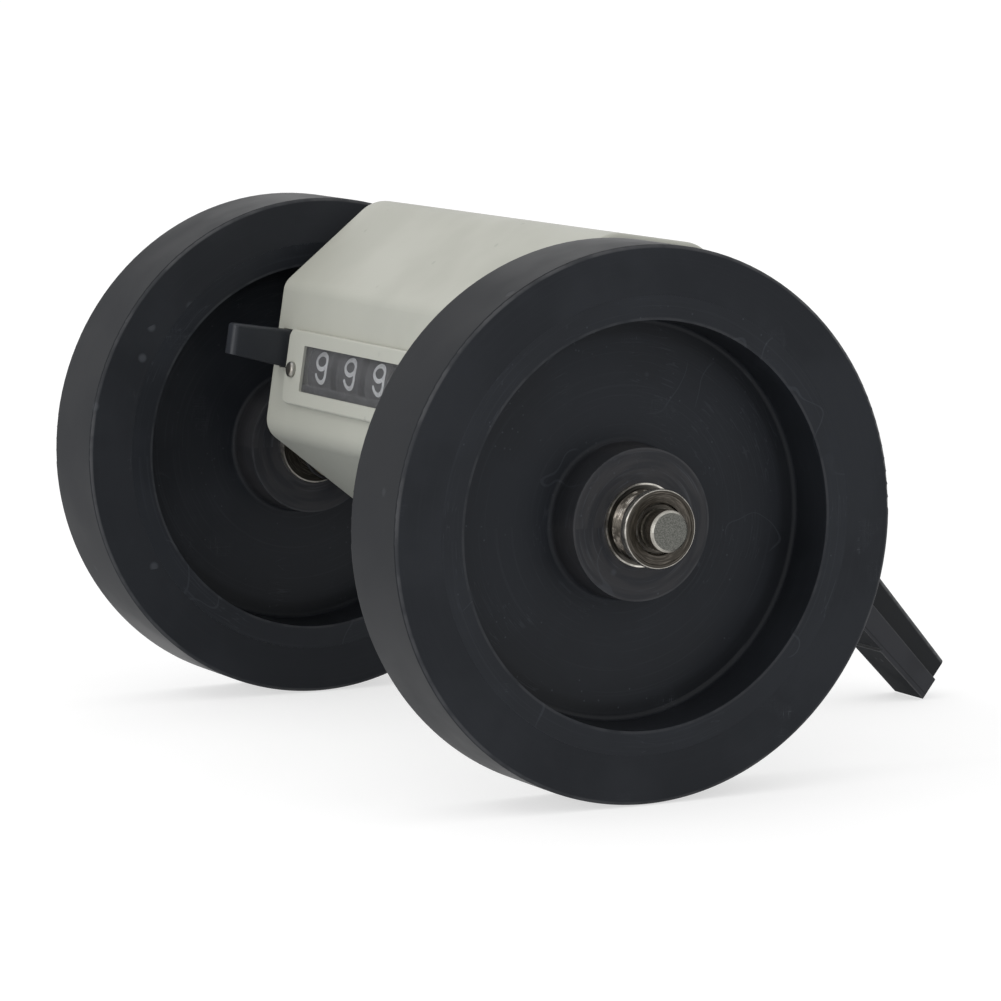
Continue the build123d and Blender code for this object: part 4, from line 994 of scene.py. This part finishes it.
@dataclass
class Palette:
    """Every finish of the counter, built once."""

    shaft: Axle
    counter: Axle
    pivot: Axle
    made: dict[str, bpy.types.Material] = field(default_factory=dict)

    def finishes(self) -> list:
        """All finishes, each named by its material.

        Returns:
            The finishes.
        """
        black = (0.0168, 0.0188, 0.0228)
        shaft, counter = self.shaft, self.counter
        cast, turned = Tooling.CAST, Tooling.TURNED
        return [
            Enamel("housing_enamel", (0.432, 0.434, 0.380)),
            Enamel("bezel_enamel", (0.448, 0.450, 0.396), shade=0.96, roughness=0.38, peel_depth=0.007),
            Enamel(
                "key_enamel", (0.0195, 0.0215, 0.0255), shade=1.3, roughness=0.36, peel=0.4, specular=0.25),
            ArmCasting("arm_enamel", self.pivot),
            Moulding("roller_plastic", black, shaft),
            Moulding(
                "figure_drum", (0.02, 0.02, 0.021), counter, roughness=0.5, flow=0.0, hub_radius=3.0,
                rim_radius=12.9),
            Moulding(
                "black_acetal", (0.012, 0.0125, 0.014), shaft, flow=0.0, hub_radius=2.0, rim_radius=6.4),
            Rubber("tyre_rubber", (0.0250, 0.0268, 0.0305), shaft),
            ClampSteel("nut_steel", shaft, 7.36, 85.4, (0.19, 0.17, 0.148), (0.052, 0.047, 0.040)),
            ClampSteel("flange_steel", shaft, 7.68, 79.5, (0.21, 0.20, 0.18), (0.075, 0.071, 0.064)),
            ClampSteel(
                "sleeve_steel", shaft, 7.75, 85.6, (0.17, 0.155, 0.135), (0.048, 0.044, 0.038),
                pitch=1.0, shoulder=5.15, lip=4.72),
            ShaftSteel("shaft_steel", shaft),
            Metal("pin_steel", (0.30, 0.29, 0.27), turned, shaft, roughness=0.26, depth=0.01),
            Metal("screw_steel", (0.42, 0.42, 0.40), cast, shaft, roughness=0.3),
            Metal("zinc_sheet", (0.55, 0.56, 0.51), Tooling.ROLLED, shaft, roughness=0.32, grain=0.4),
            Metal("spring_steel", (0.36, 0.35, 0.33), cast, shaft, roughness=0.3, grain=0.2, depth=0.004),
            Metal(
                "bush_bronze", (0.42, 0.29, 0.15), turned, shaft, roughness=0.35, depth=0.01,
                tarnish=(0.2, 0.12, 0.06)),
            Metal(
                "gear_brass", (0.62, 0.47, 0.22), turned, counter, roughness=0.28, depth=0.008,
                tarnish=(0.3, 0.2, 0.08)),
            Acrylic("window_acrylic"),
            Print("figure_ink", (0.70, 0.71, 0.72)),
            Resin("pale_acetal", (0.66, 0.64, 0.57)),
        ]

    def build(self) -> None:
        """Make every material."""
        for finish in self.finishes():
            self.made[finish.name] = finish.material()
            LOG.info("finish %s", finish.name)

    def dress(self, piece: bpy.types.Object, finish: str) -> None:
        """Give a piece one finish all over.

        Args:
            piece: Mesh or curve object.
            finish: Name of the material.
        """
        if piece.material_slots:
            for held in piece.material_slots:
                held.material = self.made[finish]
        else:
            piece.data.materials.append(self.made[finish])


# ---- mesh aids -----------------------------------------------------------------------------
def circle(net: Net, middle: Vector, across: Vector, up: Vector, radius: float, count: int) -> Corners:
    """Corners round a circle.

    Args:
        net: Mesh under construction.
        middle: Centre.
        across: Direction of the first corner.
        up: Direction a quarter turn on.
        radius: Radius in metres.
        count: Number of corners.

    Returns:
        The corners.
    """
    turns = [2 * math.pi * step / count for step in range(count)]
    spokes = [across * math.cos(turn) + up * math.sin(turn) for turn in turns]
    return [net.verts.new(middle + spoke * radius) for spoke in spokes]


def bridge(net: Net, rows: list[Corners], around: bool = True) -> None:
    """Join neighbouring rows of corners by faces.

    Args:
        net: Mesh under construction.
        rows: Rows with the same number of corners.
        around: Whether each row closes on itself.
    """
    for here, there in zip(rows[:-1], rows[1:]):
        for first in range(len(here) if around else len(here) - 1):
            second = (first + 1) % len(here)
            net.faces.new((here[first], here[second], there[second], there[first]))


def turned_piece(name: str, axle: Axle, profile: Profile, steps: int = 160) -> bpy.types.Object:
    """Revolve a closed profile about a line along +X.

    Args:
        name: Name of the piece.
        axle: The line.
        profile: (x, radius) corners in millimetres.
        steps: Segments of the full turn.

    Returns:
        The piece, not yet riding on a body.
    """
    net = bmesh.new()
    back, up = Vector((0.0, 1.0, 0.0)), Vector((0.0, 0.0, 1.0))
    rings = []
    for x, radius in profile:
        rings.append(circle(net, Vector((x * MM, axle.y, axle.z)), back, up, radius * MM, steps))
    bridge(net, [*rings, rings[0]])
    bmesh.ops.remove_doubles(net, verts=net.verts, dist=1e-7)
    bmesh.ops.recalc_face_normals(net, faces=net.faces)
    return into_object(name, net, sharp=32.0)


def into_object(name: str, net: Net, sharp: float) -> bpy.types.Object:
    """Turn a bmesh into a linked object with smooth faces and sharp creases.

    Args:
        name: Name of the piece.
        net: The mesh, which is freed.
        sharp: Angle in degrees above which an edge stays sharp.

    Returns:
        The object.
    """
    mesh = bpy.data.meshes.new(name)
    net.to_mesh(mesh)
    net.free()
    for face in mesh.polygons:
        face.use_smooth = True
    mesh.set_sharp_from_angle(angle=math.radians(sharp))
    piece = bpy.data.objects.new(name, mesh)
    bpy.context.scene.collection.objects.link(piece)
    return piece


def grooved(start: float, end: float, radius: float, pitch: float, depth: float) -> Profile:
    """Profile of a barrel with rounded rings, such as a coarse knurl or thread.

    Args:
        start: First x in millimetres.
        end: Last x.
        radius: Radius over the rings.
        pitch: Spacing of the rings.
        depth: Depth of the valleys.

    Returns:
        (x, radius) corners from start to end.
    """
    turns = max(1, round((end - start) / pitch))
    steps = turns * 6
    corners = []
    for step in range(steps + 1):
        share = step / steps
        wave = 0.5 - 0.5 * math.cos(2 * math.pi * turns * share)
        corners.append((start + (end - start) * share, radius - depth * (1 - wave)))
    return corners


# ---- figures -------------------------------------------------------------------------------
@dataclass(frozen=True)
class Figure:
    """One printed numeral as centre-line strokes, in millimetres about its middle."""

    numeral: int
    half: float = 2.3
    tall: float = 2.95
    step: float = 9.0

    def arc(self, x: float, y: float, rx: float, ry: float, start: float, end: float) -> list[Vector]:
        """Points of an arc.

        Args:
            x: Centre.
            y: Centre.
            rx: Half width.
            ry: Half height.
            start: First angle in degrees.
            end: Last angle.

        Returns:
            The points.
        """
        count = max(2, int(abs(end - start) / self.step))
        turns = [math.radians(start + (end - start) * k / count) for k in range(count + 1)]
        return [Vector((x + rx * math.cos(turn), y + ry * math.sin(turn))) for turn in turns]

    def hook(self) -> list[list[Vector]]:
        """Bowl, stem and open tail of the nine.

        Returns:
            Two centre lines.
        """
        half, tall = self.half, self.tall
        bowl_high = tall * 0.53
        bowl = self.arc(0, tall - bowl_high, half, bowl_high, 0, 360)
        low = -tall + half
        stem = [Vector((half, tall - bowl_high)), Vector((half, low))]
        tail = self.arc(0, low, half, half, 0, -155)
        return [bowl, stem + tail[1:]]

    def strokes(self) -> list[list[Vector]]:
        """Centre lines of the numeral.

        Returns:
            One list of points for each stroke.
        """
        half, tall = self.half, self.tall
        waist = tall * 0.06
        if self.numeral == 0:
            crown = self.arc(0, tall - half, half, half, 0, 180)
            foot = self.arc(0, half - tall, half, half, 180, 360)
            return [crown + foot + crown[:1]]
        if self.numeral == 1:
            stem = half * 0.2
            return [[Vector((-half * 0.5, tall * 0.62)), Vector((stem, tall)), Vector((stem, -tall))]]
        if self.numeral == 2:
            crown = self.arc(0, tall - half * 0.95, half, half * 0.95, 165, -38)
            return [crown + [Vector((-half, -tall)), Vector((half, -tall))]]
        if self.numeral == 3:
            rise = (tall - waist) / 2
            crown = self.arc(0, waist + rise, half * 0.88, rise, 150, -90)
            drop = (tall + waist) / 2
            foot = self.arc(0, waist - drop, half, drop, 90, -155)
            return [crown + foot[1:]]
        if self.numeral == 4:
            stem = [Vector((half * 0.45, -tall)), Vector((half * 0.45, tall))]
            wing = [Vector((half * 0.45, tall)), Vector((-half, -tall * 0.38)), Vector((half, -tall * 0.38))]
            return [stem, wing]
        if self.numeral == 5:
            bowl_high = tall * 0.66
            bowl = self.arc(-half * 0.1, bowl_high - tall, half * 1.1, bowl_high, 128, -150)
            return [[Vector((half * 0.85, tall)), Vector((-half * 0.7, tall))] + bowl]
        if self.numeral == 6:
            return [[-point for point in line] for line in self.hook()]
        if self.numeral == 7:
            return [[Vector((-half, tall)), Vector((half, tall)), Vector((-half * 0.3, -tall))]]
        if self.numeral == 8:
            rise = (tall - waist) / 2
            drop = (tall + waist) / 2
            crown = self.arc(0, waist + rise, half * 0.86, rise, 0, 360)
            foot = self.arc(0, waist - drop, half, drop, 0, 360)
            return [crown, foot]
        return self.hook()


@dataclass(frozen=True)
class Drum:
    """Rim of one number wheel, on which the figures are printed."""

    x: float
    axle: Axle
    radius: float = 13.0
    proud: float = 0.05
    stroke: float = 0.94
    lift: float = 0.2
    shift: float = 1.1
    spacing: float = 36.0
    cap_steps: int = 8

    def onto(self, point: Vector, turn: float) -> Place:
        """Place of a flat point on the rim.

        Args:
            point: Right and up on the face, in millimetres.
            turn: Bearing of the figure's middle above the front, in radians.

        Returns:
            Position in metres.
        """
        reach = (self.radius + self.proud) * MM
        bearing = turn + (point.y + self.lift) / self.radius
        back = -math.cos(bearing) * reach
        up = math.sin(bearing) * reach
        y = self.axle.y + back * math.cos(LEAN) + up * math.sin(LEAN)
        z = self.axle.z - back * math.sin(LEAN) + up * math.cos(LEAN)
        return (self.x + (point.x + self.shift) * MM, y, z)

    def ribbon(self, net: Net, line: list[Vector], turn: float) -> None:
        """Lay one stroke on the rim as a flat ribbon with round ends.

        Args:
            net: Mesh under construction.
            line: Centre line.
            turn: Bearing of the figure.
        """
        wide = self.stroke / 2
        points = self.eased(line)
        looped = (points[0] - points[-1]).length < 1e-6
        rows = []
        for index, point in enumerate(points):
            before = points[index - 1] if index else (points[-2] if looped else None)
            after = points[index + 1] if index + 1 < len(points) else (points[1] if looped else None)
            into = (point - before).normalized() if before is not None else None
            onward = (after - point).normalized() if after is not None else None
            ahead = ((into or onward) + (onward or into)).normalized()
            side = Vector((-ahead.y, ahead.x))
            spread = wide / max(0.5, side.dot(Vector((-(onward or into).y, (onward or into).x))))
            rows.append((point + side * spread, point - side * spread))
        bridge(net, [[net.verts.new(self.onto(edge, turn)) for edge in row] for row in rows], around=False)
        if not looped:
            self.cap(net, points[0], points[0] - points[1], turn)
            self.cap(net, points[-1], points[-1] - points[-2], turn)

    def cap(self, net: Net, end: Vector, outward: Vector, turn: float) -> None:
        """Round end of a ribbon.

        Args:
            net: Mesh under construction.
            end: Last point of the centre line.
            outward: Direction out of the line.
            turn: Bearing of the figure.
        """
        start = math.atan2(outward.y, outward.x) - math.pi / 2
        angles = [start + math.pi * step / self.cap_steps for step in range(self.cap_steps + 1)]
        rim = [end + Vector((math.cos(angle), math.sin(angle))) * (self.stroke / 2) for angle in angles]
        net.faces.new([net.verts.new(self.onto(point, turn)) for point in rim])

    @staticmethod
    def eased(line: list[Vector], longest: float = 0.35) -> list[Vector]:
        """Centre line with its long straight runs cut up, so that it can follow the rim.

        Args:
            line: Centre line.
            longest: Longest run kept, in millimetres.

        Returns:
            The finer line.
        """
        points = [line[0]]
        for start, end in zip(line[:-1], line[1:]):
            count = max(1, math.ceil((end - start).length / longest))
            points += [start.lerp(end, k / count) for k in range(1, count + 1)]
        return points

    def figures(self, name: str, showing: int) -> bpy.types.Object:
        """All ten figures of the wheel.

        Args:
            name: Name of the piece.
            showing: Numeral that faces the window at rest.

        Returns:
            The piece.
        """
        net = bmesh.new()
        for numeral in range(10):
            turn = math.radians(self.spacing * (numeral - showing))
            for line in Figure(numeral).strokes():
                self.ribbon(net, line, turn)
        for face in net.faces:
            middle = face.calc_center_median()
            if face.normal.dot(middle - Vector((middle.x, self.axle.y, self.axle.z))) < 0:
                face.normal_flip()
        return into_object(name, net, sharp=60.0)


# ---- sub-assemblies ------------------------------------------------------------------------
@dataclass
class Assembly:
    """Group of pieces that are dressed and built together."""

    frame: dict
    palette: Palette

    def dress(self, finish: str, *names: str) -> None:
        """Give some of the CAD's nodes one finish.

        Args:
            finish: Name of the material.
            names: The nodes.
        """
        for name in names:
            self.palette.dress(self.frame["nodes"][name], finish)


@dataclass
class Rollers(Assembly):
    """Both measuring rollers, their shaft and the clamping parts."""

    nut_start: float = 79.85
    nut_end: float = 86.5
    rim_width: float = 1.9
    barrel: float = 6.95
    rim: float = 7.55
    bore: float = 5.02
    ring_pitch: float = 0.62
    ring_depth: float = 0.22
    recess: float = 0.45
    chamfer: float = 0.35
    edge: float = 0.12

    def build(self) -> None:
        """Dress the CAD's parts and turn the nuts."""
        for side, word in ((-1, "left"), (1, "right")):
            self.dress("roller_plastic", f"roller_core_{word}")
            self.dress("tyre_rubber", f"tyre_{word}")
            self.dress("sleeve_steel", f"hub_sleeve_{word}")
            self.dress("flange_steel", f"hub_washer_{word}")
            piece = turned_piece(f"ringed_nut_{word}", self.palette.shaft, self.profile(side))
            self.palette.dress(piece, "nut_steel")
            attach(piece, "rollers")
            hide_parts(f"clamp_nut_{word}")
        # Painted shade: the left thrust washer is dressed black so that it reads as dark as the shade behind
        # the hub.
        self.dress("black_acetal", "thrust_washer_left", "spacer_tube_right")
        self.dress("shaft_steel", "main_shaft")
        self.dress("pin_steel", "sleeve_pins")
        LOG.info("rollers, shaft and clamp nuts")

    def profile(self, side: int) -> Profile:
        """Outline of a clamp nut: ringed barrel, polished rim and stepped front.

        Args:
            side: 1 on the right, -1 on the left.

        Returns:
            (x, radius) corners.
        """
        start, face, bore, edge = self.nut_start, self.nut_end, self.bore, self.edge
        rim_x = face - self.rim_width
        corners = [
            # chamfered back and ringed barrel
            (start, bore), (start, self.barrel - self.chamfer), (start + self.chamfer, self.barrel - 0.05),
            *grooved(start + 0.5, rim_x - 0.1, self.barrel, self.ring_pitch, self.ring_depth),
            # polished rim
            (rim_x, self.rim - edge), (rim_x + edge, self.rim), (face - self.chamfer, self.rim),
            (face - edge, self.rim - edge), (face, self.rim - 0.4), (face - 0.02, self.rim - 0.75),
            # front, in two low steps down to the bore
            (face - 0.16, self.rim - 0.9), (face - 0.18, bore + 1.2), (face - 0.26, bore + 1.05),
            (face - 0.28, bore + 0.62), (face - 0.4, bore + 0.3), (face - self.recess, bore)]
        return [(side * x, radius) for x, radius in corners]


@dataclass
class CrossedScrews:
    """Group of domed screws with a crossed recess, built where a plain CAD group stands."""

    node: bpy.types.Object
    outward: Vector
    head_height: float
    arm_reach: float = 0.62
    arm_half: float = 0.13
    depth: float = 0.5
    clear: float = 0.2
    cells: int = 48
    sides: int = 48

    def islands(self) -> list[list[Vector]]:
        """Vertices of each separate screw of the CAD group.

        Returns:
            One list of places for each screw.
        """
        net = bmesh.new()
        net.from_mesh(self.node.data)
        bmesh.ops.remove_doubles(net, verts=net.verts, dist=1e-6)
        waiting = set(net.verts)
        groups = []
        while waiting:
            front = [waiting.pop()]
            group = []
            while front:
                vert = front.pop()
                group.append(vert.co.copy())
                for edge in vert.link_edges:
                    other = edge.other_vert(vert)
                    if other in waiting:
                        waiting.remove(other)
                        front.append(other)
            groups.append(group)
        net.free()
        return groups

    def height(self, x: float, y: float) -> float:
        """Height of the head at a place on it.

        Args:
            x: Across, in head radii.
            y: Up, in head radii.

        Returns:
            Share of the head's full height.
        """
        share = min(1.0, math.hypot(x, y))
        if share > 0.995:
            return 0.0
        crown = 1 - 0.45 * share ** 3.4
        in_arm = abs(x) < self.arm_half and abs(y) < self.arm_reach
        in_cross = abs(y) < self.arm_half and abs(x) < self.arm_reach
        return crown - self.depth if in_arm or in_cross else crown

    def build(self, name: str) -> bpy.types.Object:
        """Build every screw of the group.

        Args:
            name: Name of the piece.

        Returns:
            The piece.
        """
        net = bmesh.new()
        across = Vector((1.0, 0.0, 0.0))
        up = self.outward.cross(across).normalized()
        for group in self.islands():
            levels = [point.dot(self.outward) for point in group]
            seat, foot = max(levels) - self.head_height * MM, min(levels)
            middle = sum(group, Vector()) / len(group)
            line = middle - self.outward * middle.dot(self.outward)
            reaches = [(point - line - self.outward * level).length for point, level in zip(group, levels)]
            thin = [reach for reach, level in zip(reaches, levels) if level < seat - self.clear * MM]
            self.head(net, line + self.outward * seat, across, up, max(reaches))
            self.shank(net, line + self.outward * foot, across, up, max(thin), seat - foot)
        bmesh.ops.recalc_face_normals(net, faces=net.faces)
        return into_object(name, net, sharp=30.0)

    def head(self, net: Net, seat: Vector, across: Vector, up: Vector, radius: float) -> None:
        """One closed head.

        Args:
            net: Mesh under construction.
            seat: Middle of its underside.
            across: Direction of one arm of the cross.
            up: Direction of the other.
            radius: Radius in metres.
        """
        ticks = [2 * step / self.cells - 1 for step in range(self.cells + 1)]
        rows = []
        for v in ticks:
            spots = [(u * math.sqrt(1 - v * v / 2), v * math.sqrt(1 - u * u / 2)) for u in ticks]
            places = [
                (across * x + up * y) * radius + self.outward * (self.height(x, y) * self.head_height * MM)
                for x, y in spots]
            rows.append([net.verts.new(seat + place) for place in places])
        bridge(net, rows, around=False)
        edge = rows[0][:-1] + [row[-1] for row in rows[:-1]]
        edge += rows[-1][:0:-1] + [row[0] for row in rows[:0:-1]]
        net.faces.new(edge[::-1])

    def shank(
            self, net: Net, foot: Vector, across: Vector, up: Vector, radius: float, length: float) -> None:
        """One plain shank with a chamfered point.

        Args:
            net: Mesh under construction.
            foot: Middle of its end.
            across: Any direction square to it.
            up: The other.
            radius: Radius in metres.
            length: Length in metres.
        """
        chamfer = radius * 0.3
        levels = ((0.0, radius - chamfer), (chamfer, radius), (length, radius))
        rings = []
        for lift, reach in levels:
            rings.append(circle(net, foot + self.outward * lift, across, up, reach, self.sides))
        bridge(net, rings)
        net.faces.new(rings[0][::-1])
        net.faces.new(rings[-1])


@dataclass
class Housing(Assembly):
    """Casing, covers, window and the screws that hold them."""

    cover_head: float = 1.9
    frame_head: float = 1.6

    def build(self) -> None:
        """Dress the castings and build the crossed screws."""
        self.dress("housing_enamel", "casing", "back_cover")
        self.dress("bezel_enamel", "window_bezel")
        self.dress("window_acrylic", "window_lens")
        self.dress("bush_bronze", "bush_left", "bush_right")
        self.dress("screw_steel", "bezel_screws")
        self.screws("cover", self.cover_head, Vector((0.0, math.cos(LEAN), -math.sin(LEAN))))
        self.screws("frame", self.frame_head, Vector((0.0, -math.sin(LEAN), -math.cos(LEAN))))
        LOG.info("housing and window")

    def screws(self, word: str, height: float, outward: Vector) -> None:
        """Replace a plain CAD group by screws with crossed heads.

        Args:
            word: What they hold.
            height: Height of a head in millimetres.
            outward: Direction that the heads face.
        """
        node = self.frame["nodes"][f"{word}_screws"]
        piece = CrossedScrews(node, outward, height).build(f"crossed_{word}_screws")
        self.palette.dress(piece, "screw_steel")
        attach(piece, "housing")
        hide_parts(f"{word}_screws")


@dataclass
class Counter(Assembly):
    """Number wheels with their printed figures, gears and frame."""

    showing: int = 9
    wheels: int = 5
    first_x: float = 21.4
    pitch: float = 13.5

    def build(self) -> None:
        """Print the figures and dress the works."""
        for place in range(1, self.wheels + 1):
            self.dress("figure_drum", f"number_wheel_{place}")
            drum = Drum((self.first_x - self.pitch * (place - 1)) * MM, self.palette.counter)
            piece = drum.figures(f"figures_{place}", self.showing)
            self.palette.dress(piece, "figure_ink")
            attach(piece, f"wheel_{place}")
        plates = ("frame_plate_left", "frame_plate_right")
        self.dress("zinc_sheet", *plates, "tie_rods", "frame_bar", "axle_spacer")
        self.dress("pin_steel", "pinion_axle", "idler_stub", "reset_axle")
        self.dress("spring_steel", "idler_clip", "axle_clip")
        self.dress("gear_brass", "idler_gear", "tenths_gear")
        self.dress("pale_acetal", *(f"transfer_pinion_{place}" for place in range(1, self.wheels)))
        LOG.info("number wheels and drive")


@dataclass
class ResetSpring(Assembly):
    """Coil behind the push key, wound at its resting length."""

    coil: float = 1.9
    wire: float = 0.25
    turns: int = 7
    steps: int = 26
    sides: int = 10

    def build(self) -> None:
        """Wind the coil between the key's tail and its seat."""
        joint = joint_of(self.frame, "reset_push")
        inward = Vector(joint["axis"]).normalized()
        travel = joint["range_m"][1]
        low, high = (Vector(corner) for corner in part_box("reset_spring"))
        outer = (self.coil + self.wire) * MM
        length = (high.y - low.y - 2 * outer * abs(inward.z)) / inward.y
        middle = (low + high) / 2
        piece = self.wound(middle - inward * (length / 2), inward, length)
        self.palette.dress(piece, "spring_steel")
        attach(piece, "housing")
        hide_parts("reset_spring")
        seat = middle + inward * (length / 2)
        (length - travel) / length
        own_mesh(piece)
        LOG.info("reset spring")

    def wound(self, start: Vector, inward: Vector, length: float) -> bpy.types.Object:
        """Wire along a helix, closed at both ends.

        Args:
            start: Middle of the front end.
            inward: Direction of the coil's line.
            length: Length over the wire.

        Returns:
            The piece.
        """
        across = Vector((1.0, 0.0, 0.0))
        up = inward.cross(across)
        wire = self.wire * MM
        net = bmesh.new()
        count = self.turns * self.steps
        rings = []
        for step in range(count + 1):
            share = step / count
            angle = 2 * math.pi * self.turns * share
            out = across * math.cos(angle) + up * math.sin(angle)
            core = start + inward * (wire + (length - 2 * wire) * share) + out * (self.coil * MM)
            rings.append(circle(net, core, out, inward, wire, self.sides))
        bridge(net, rings)
        net.faces.new(rings[0])
        net.faces.new(rings[-1][::-1])
        bmesh.ops.recalc_face_normals(net, faces=net.faces)
        return into_object("coil_spring", net, sharp=50.0)


@dataclass
class KeyAndArm(Assembly):
    """Reset key and the rear arm with its pivot."""

    def build(self) -> None:
        """Dress both."""
        self.dress("key_enamel", "reset_key")
        self.dress("arm_enamel", "support_arm")
        self.dress("screw_steel", "pivot_bolt", "pivot_nut", "pivot_washers")
        LOG.info("reset key and arm")


# ---- studio --------------------------------------------------------------------------------
@dataclass
class Studio:
    """Floor, light and the camera at the photograph's angle."""

    shaft: Axle
    eye: Place = (0.87748, -0.44283, 0.12321)
    gaze: Place = (-0.8808, 0.4556, -0.1289)
    right: Place = (0.4594, 0.8882, 0.0)
    focal: float = 4890.8
    picture: float = 1001.0
    sensor: float = 36.0
    floor_half: float = 6.0
    floor_drop: float = 0.0002
    sky_low: float = 0.80
    sky_high: float = 0.85
    bounce: Colour = (0.56, 0.59, 0.635)

    def build(self) -> None:
        """Set up the whole studio."""
        self.camera()
        self.world()
        self.floor()
        self.lamp("front_box", (0.25, -1.8, 0.30), 1.2, 13.6)
        self.lamp("small_box", (-0.2, -1.0, 1.2), 0.32, 1.6)
        bpy.context.scene.view_settings.view_transform = "Standard"
        LOG.info("studio")

    def camera(self) -> None:
        """Stand the camera where the photograph was taken."""
        ahead = Vector(self.gaze).normalized()
        side = Vector(self.right).normalized()
        up = side.cross(ahead).normalized()
        data = bpy.data.cameras.new("photo_camera")
        data.sensor_fit = "HORIZONTAL"
        data.sensor_width = self.sensor
        data.lens = self.sensor * self.focal / self.picture
        data.clip_start = 0.05
        data.clip_end = 50.0
        camera = bpy.data.objects.new("photo_camera", data)
        bpy.context.scene.collection.objects.link(camera)
        turn = Matrix((side, up, -ahead)).transposed().to_4x4()
        origin = Vector((0.0, self.shaft.y, self.shaft.z))
        camera.matrix_world = Matrix.Translation(origin + Vector(self.eye)) @ turn
        bpy.context.scene.camera = camera

    @staticmethod
    def seen(bench: Bench) -> Channel:
        """1 for camera, mirror and glass rays, 0 for the light itself.

        Args:
            bench: Material or world.

        Returns:
            The mask.
        """
        path = bench.node("ShaderNodeLightPath")
        camera, mirror = bench.out(path, "Is Camera Ray"), bench.out(path, "Is Glossy Ray")
        return camera | mirror | bench.out(path, "Is Transmission Ray")

    def world(self) -> None:
        """Soft surround, brighter overhead; plain white where it is seen."""
        world = bpy.data.worlds.new("soft_surround")
        world.use_nodes = True
        bench = Bench(world.name, world.node_tree)
        height = bench.parted(bench.out(bench.node("ShaderNodeTexCoord"), "Generated"))[2]
        level = bench.rise(height, -0.2, 1.0, self.sky_low, self.sky_high)
        light = bench.node("ShaderNodeBackground", None, {"Color": (1.0, 1.0, 1.0), "Strength": level})
        white = bench.node("ShaderNodeBackground", None, {"Color": (1.0, 1.0, 1.0), "Strength": 1.0})
        sockets = {0: self.seen(bench), 1: bench.out(light), 2: bench.out(white)}
        both = bench.node("ShaderNodeMixShader", None, sockets)
        bench.node("ShaderNodeOutputWorld", None, {"Surface": bench.out(both)})
        bpy.context.scene.world = world

    def floor(self) -> None:
        """Pale floor that keeps the object's shadow and fades to white."""
        net = bmesh.new()
        half = self.floor_half
        corners = [(-half, -half), (half, -half), (half, half), (-half, half)]
        net.faces.new([net.verts.new((x, y, -self.floor_drop)) for x, y in corners])
        piece = into_object("pale_floor", net, sharp=30.0)
        bench = Bench("pale_floor")
        grain = bench.noise(40.0, 2.0)
        tone = bench.blend(grain.above(0.5, 0.2), (0.50, 0.50, 0.50), (0.488, 0.488, 0.488))
        matt = bench.node("ShaderNodeBsdfDiffuse", None, {"Color": tone})
        glow = bench.node("ShaderNodeEmission", None, {"Color": (1.0, 1.0, 1.0), "Strength": 0.62})
        bright = bench.node("ShaderNodeAddShader", None, {0: bench.out(matt), 1: bench.out(glow)})
        bounce = bench.node("ShaderNodeBsdfDiffuse", None, {"Color": self.bounce})
        sockets = {0: self.seen(bench), 1: bench.out(bounce), 2: bench.out(bright)}
        bench.close(bench.out(bench.node("ShaderNodeMixShader", None, sockets)))
        piece.data.materials.append(bench.material)

    def lamp(self, name: str, place: Place, size: float, power: float) -> None:
        """Hang one soft box that faces the object.

        Args:
            name: Name of the lamp.
            place: Position in metres.
            size: Side of the box in metres.
            power: Watts.
        """
        data = bpy.data.lights.new(name, "AREA")
        data.shape = "SQUARE"
        data.size = size
        data.energy = power
        lamp = bpy.data.objects.new(name, data)
        bpy.context.scene.collection.objects.link(lamp)
        spot = Vector(place)
        aim = Vector((0.0, 0.0, 0.05)) - spot
        lamp.matrix_world = Matrix.Translation(spot) @ aim.to_track_quat("-Z", "Y").to_matrix().to_4x4()


def main() -> None:
    """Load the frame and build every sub-assembly."""
    logging.basicConfig(level=logging.INFO, format="%(name)s: %(message)s")
    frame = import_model()
    joints = ("roller_spin", "wheel_1_spin", "arm_pivot")
    shaft, counter, pivot = (Axle(*joint_of(frame, name)["pos_m"][1:]) for name in joints)
    palette = Palette(shaft, counter, pivot)
    palette.build()
    for kind in (Rollers, Housing, Counter, ResetSpring, KeyAndArm):
        kind(frame, palette).build()
    Studio(shaft).build()


if __name__ == "__main__":
    main()
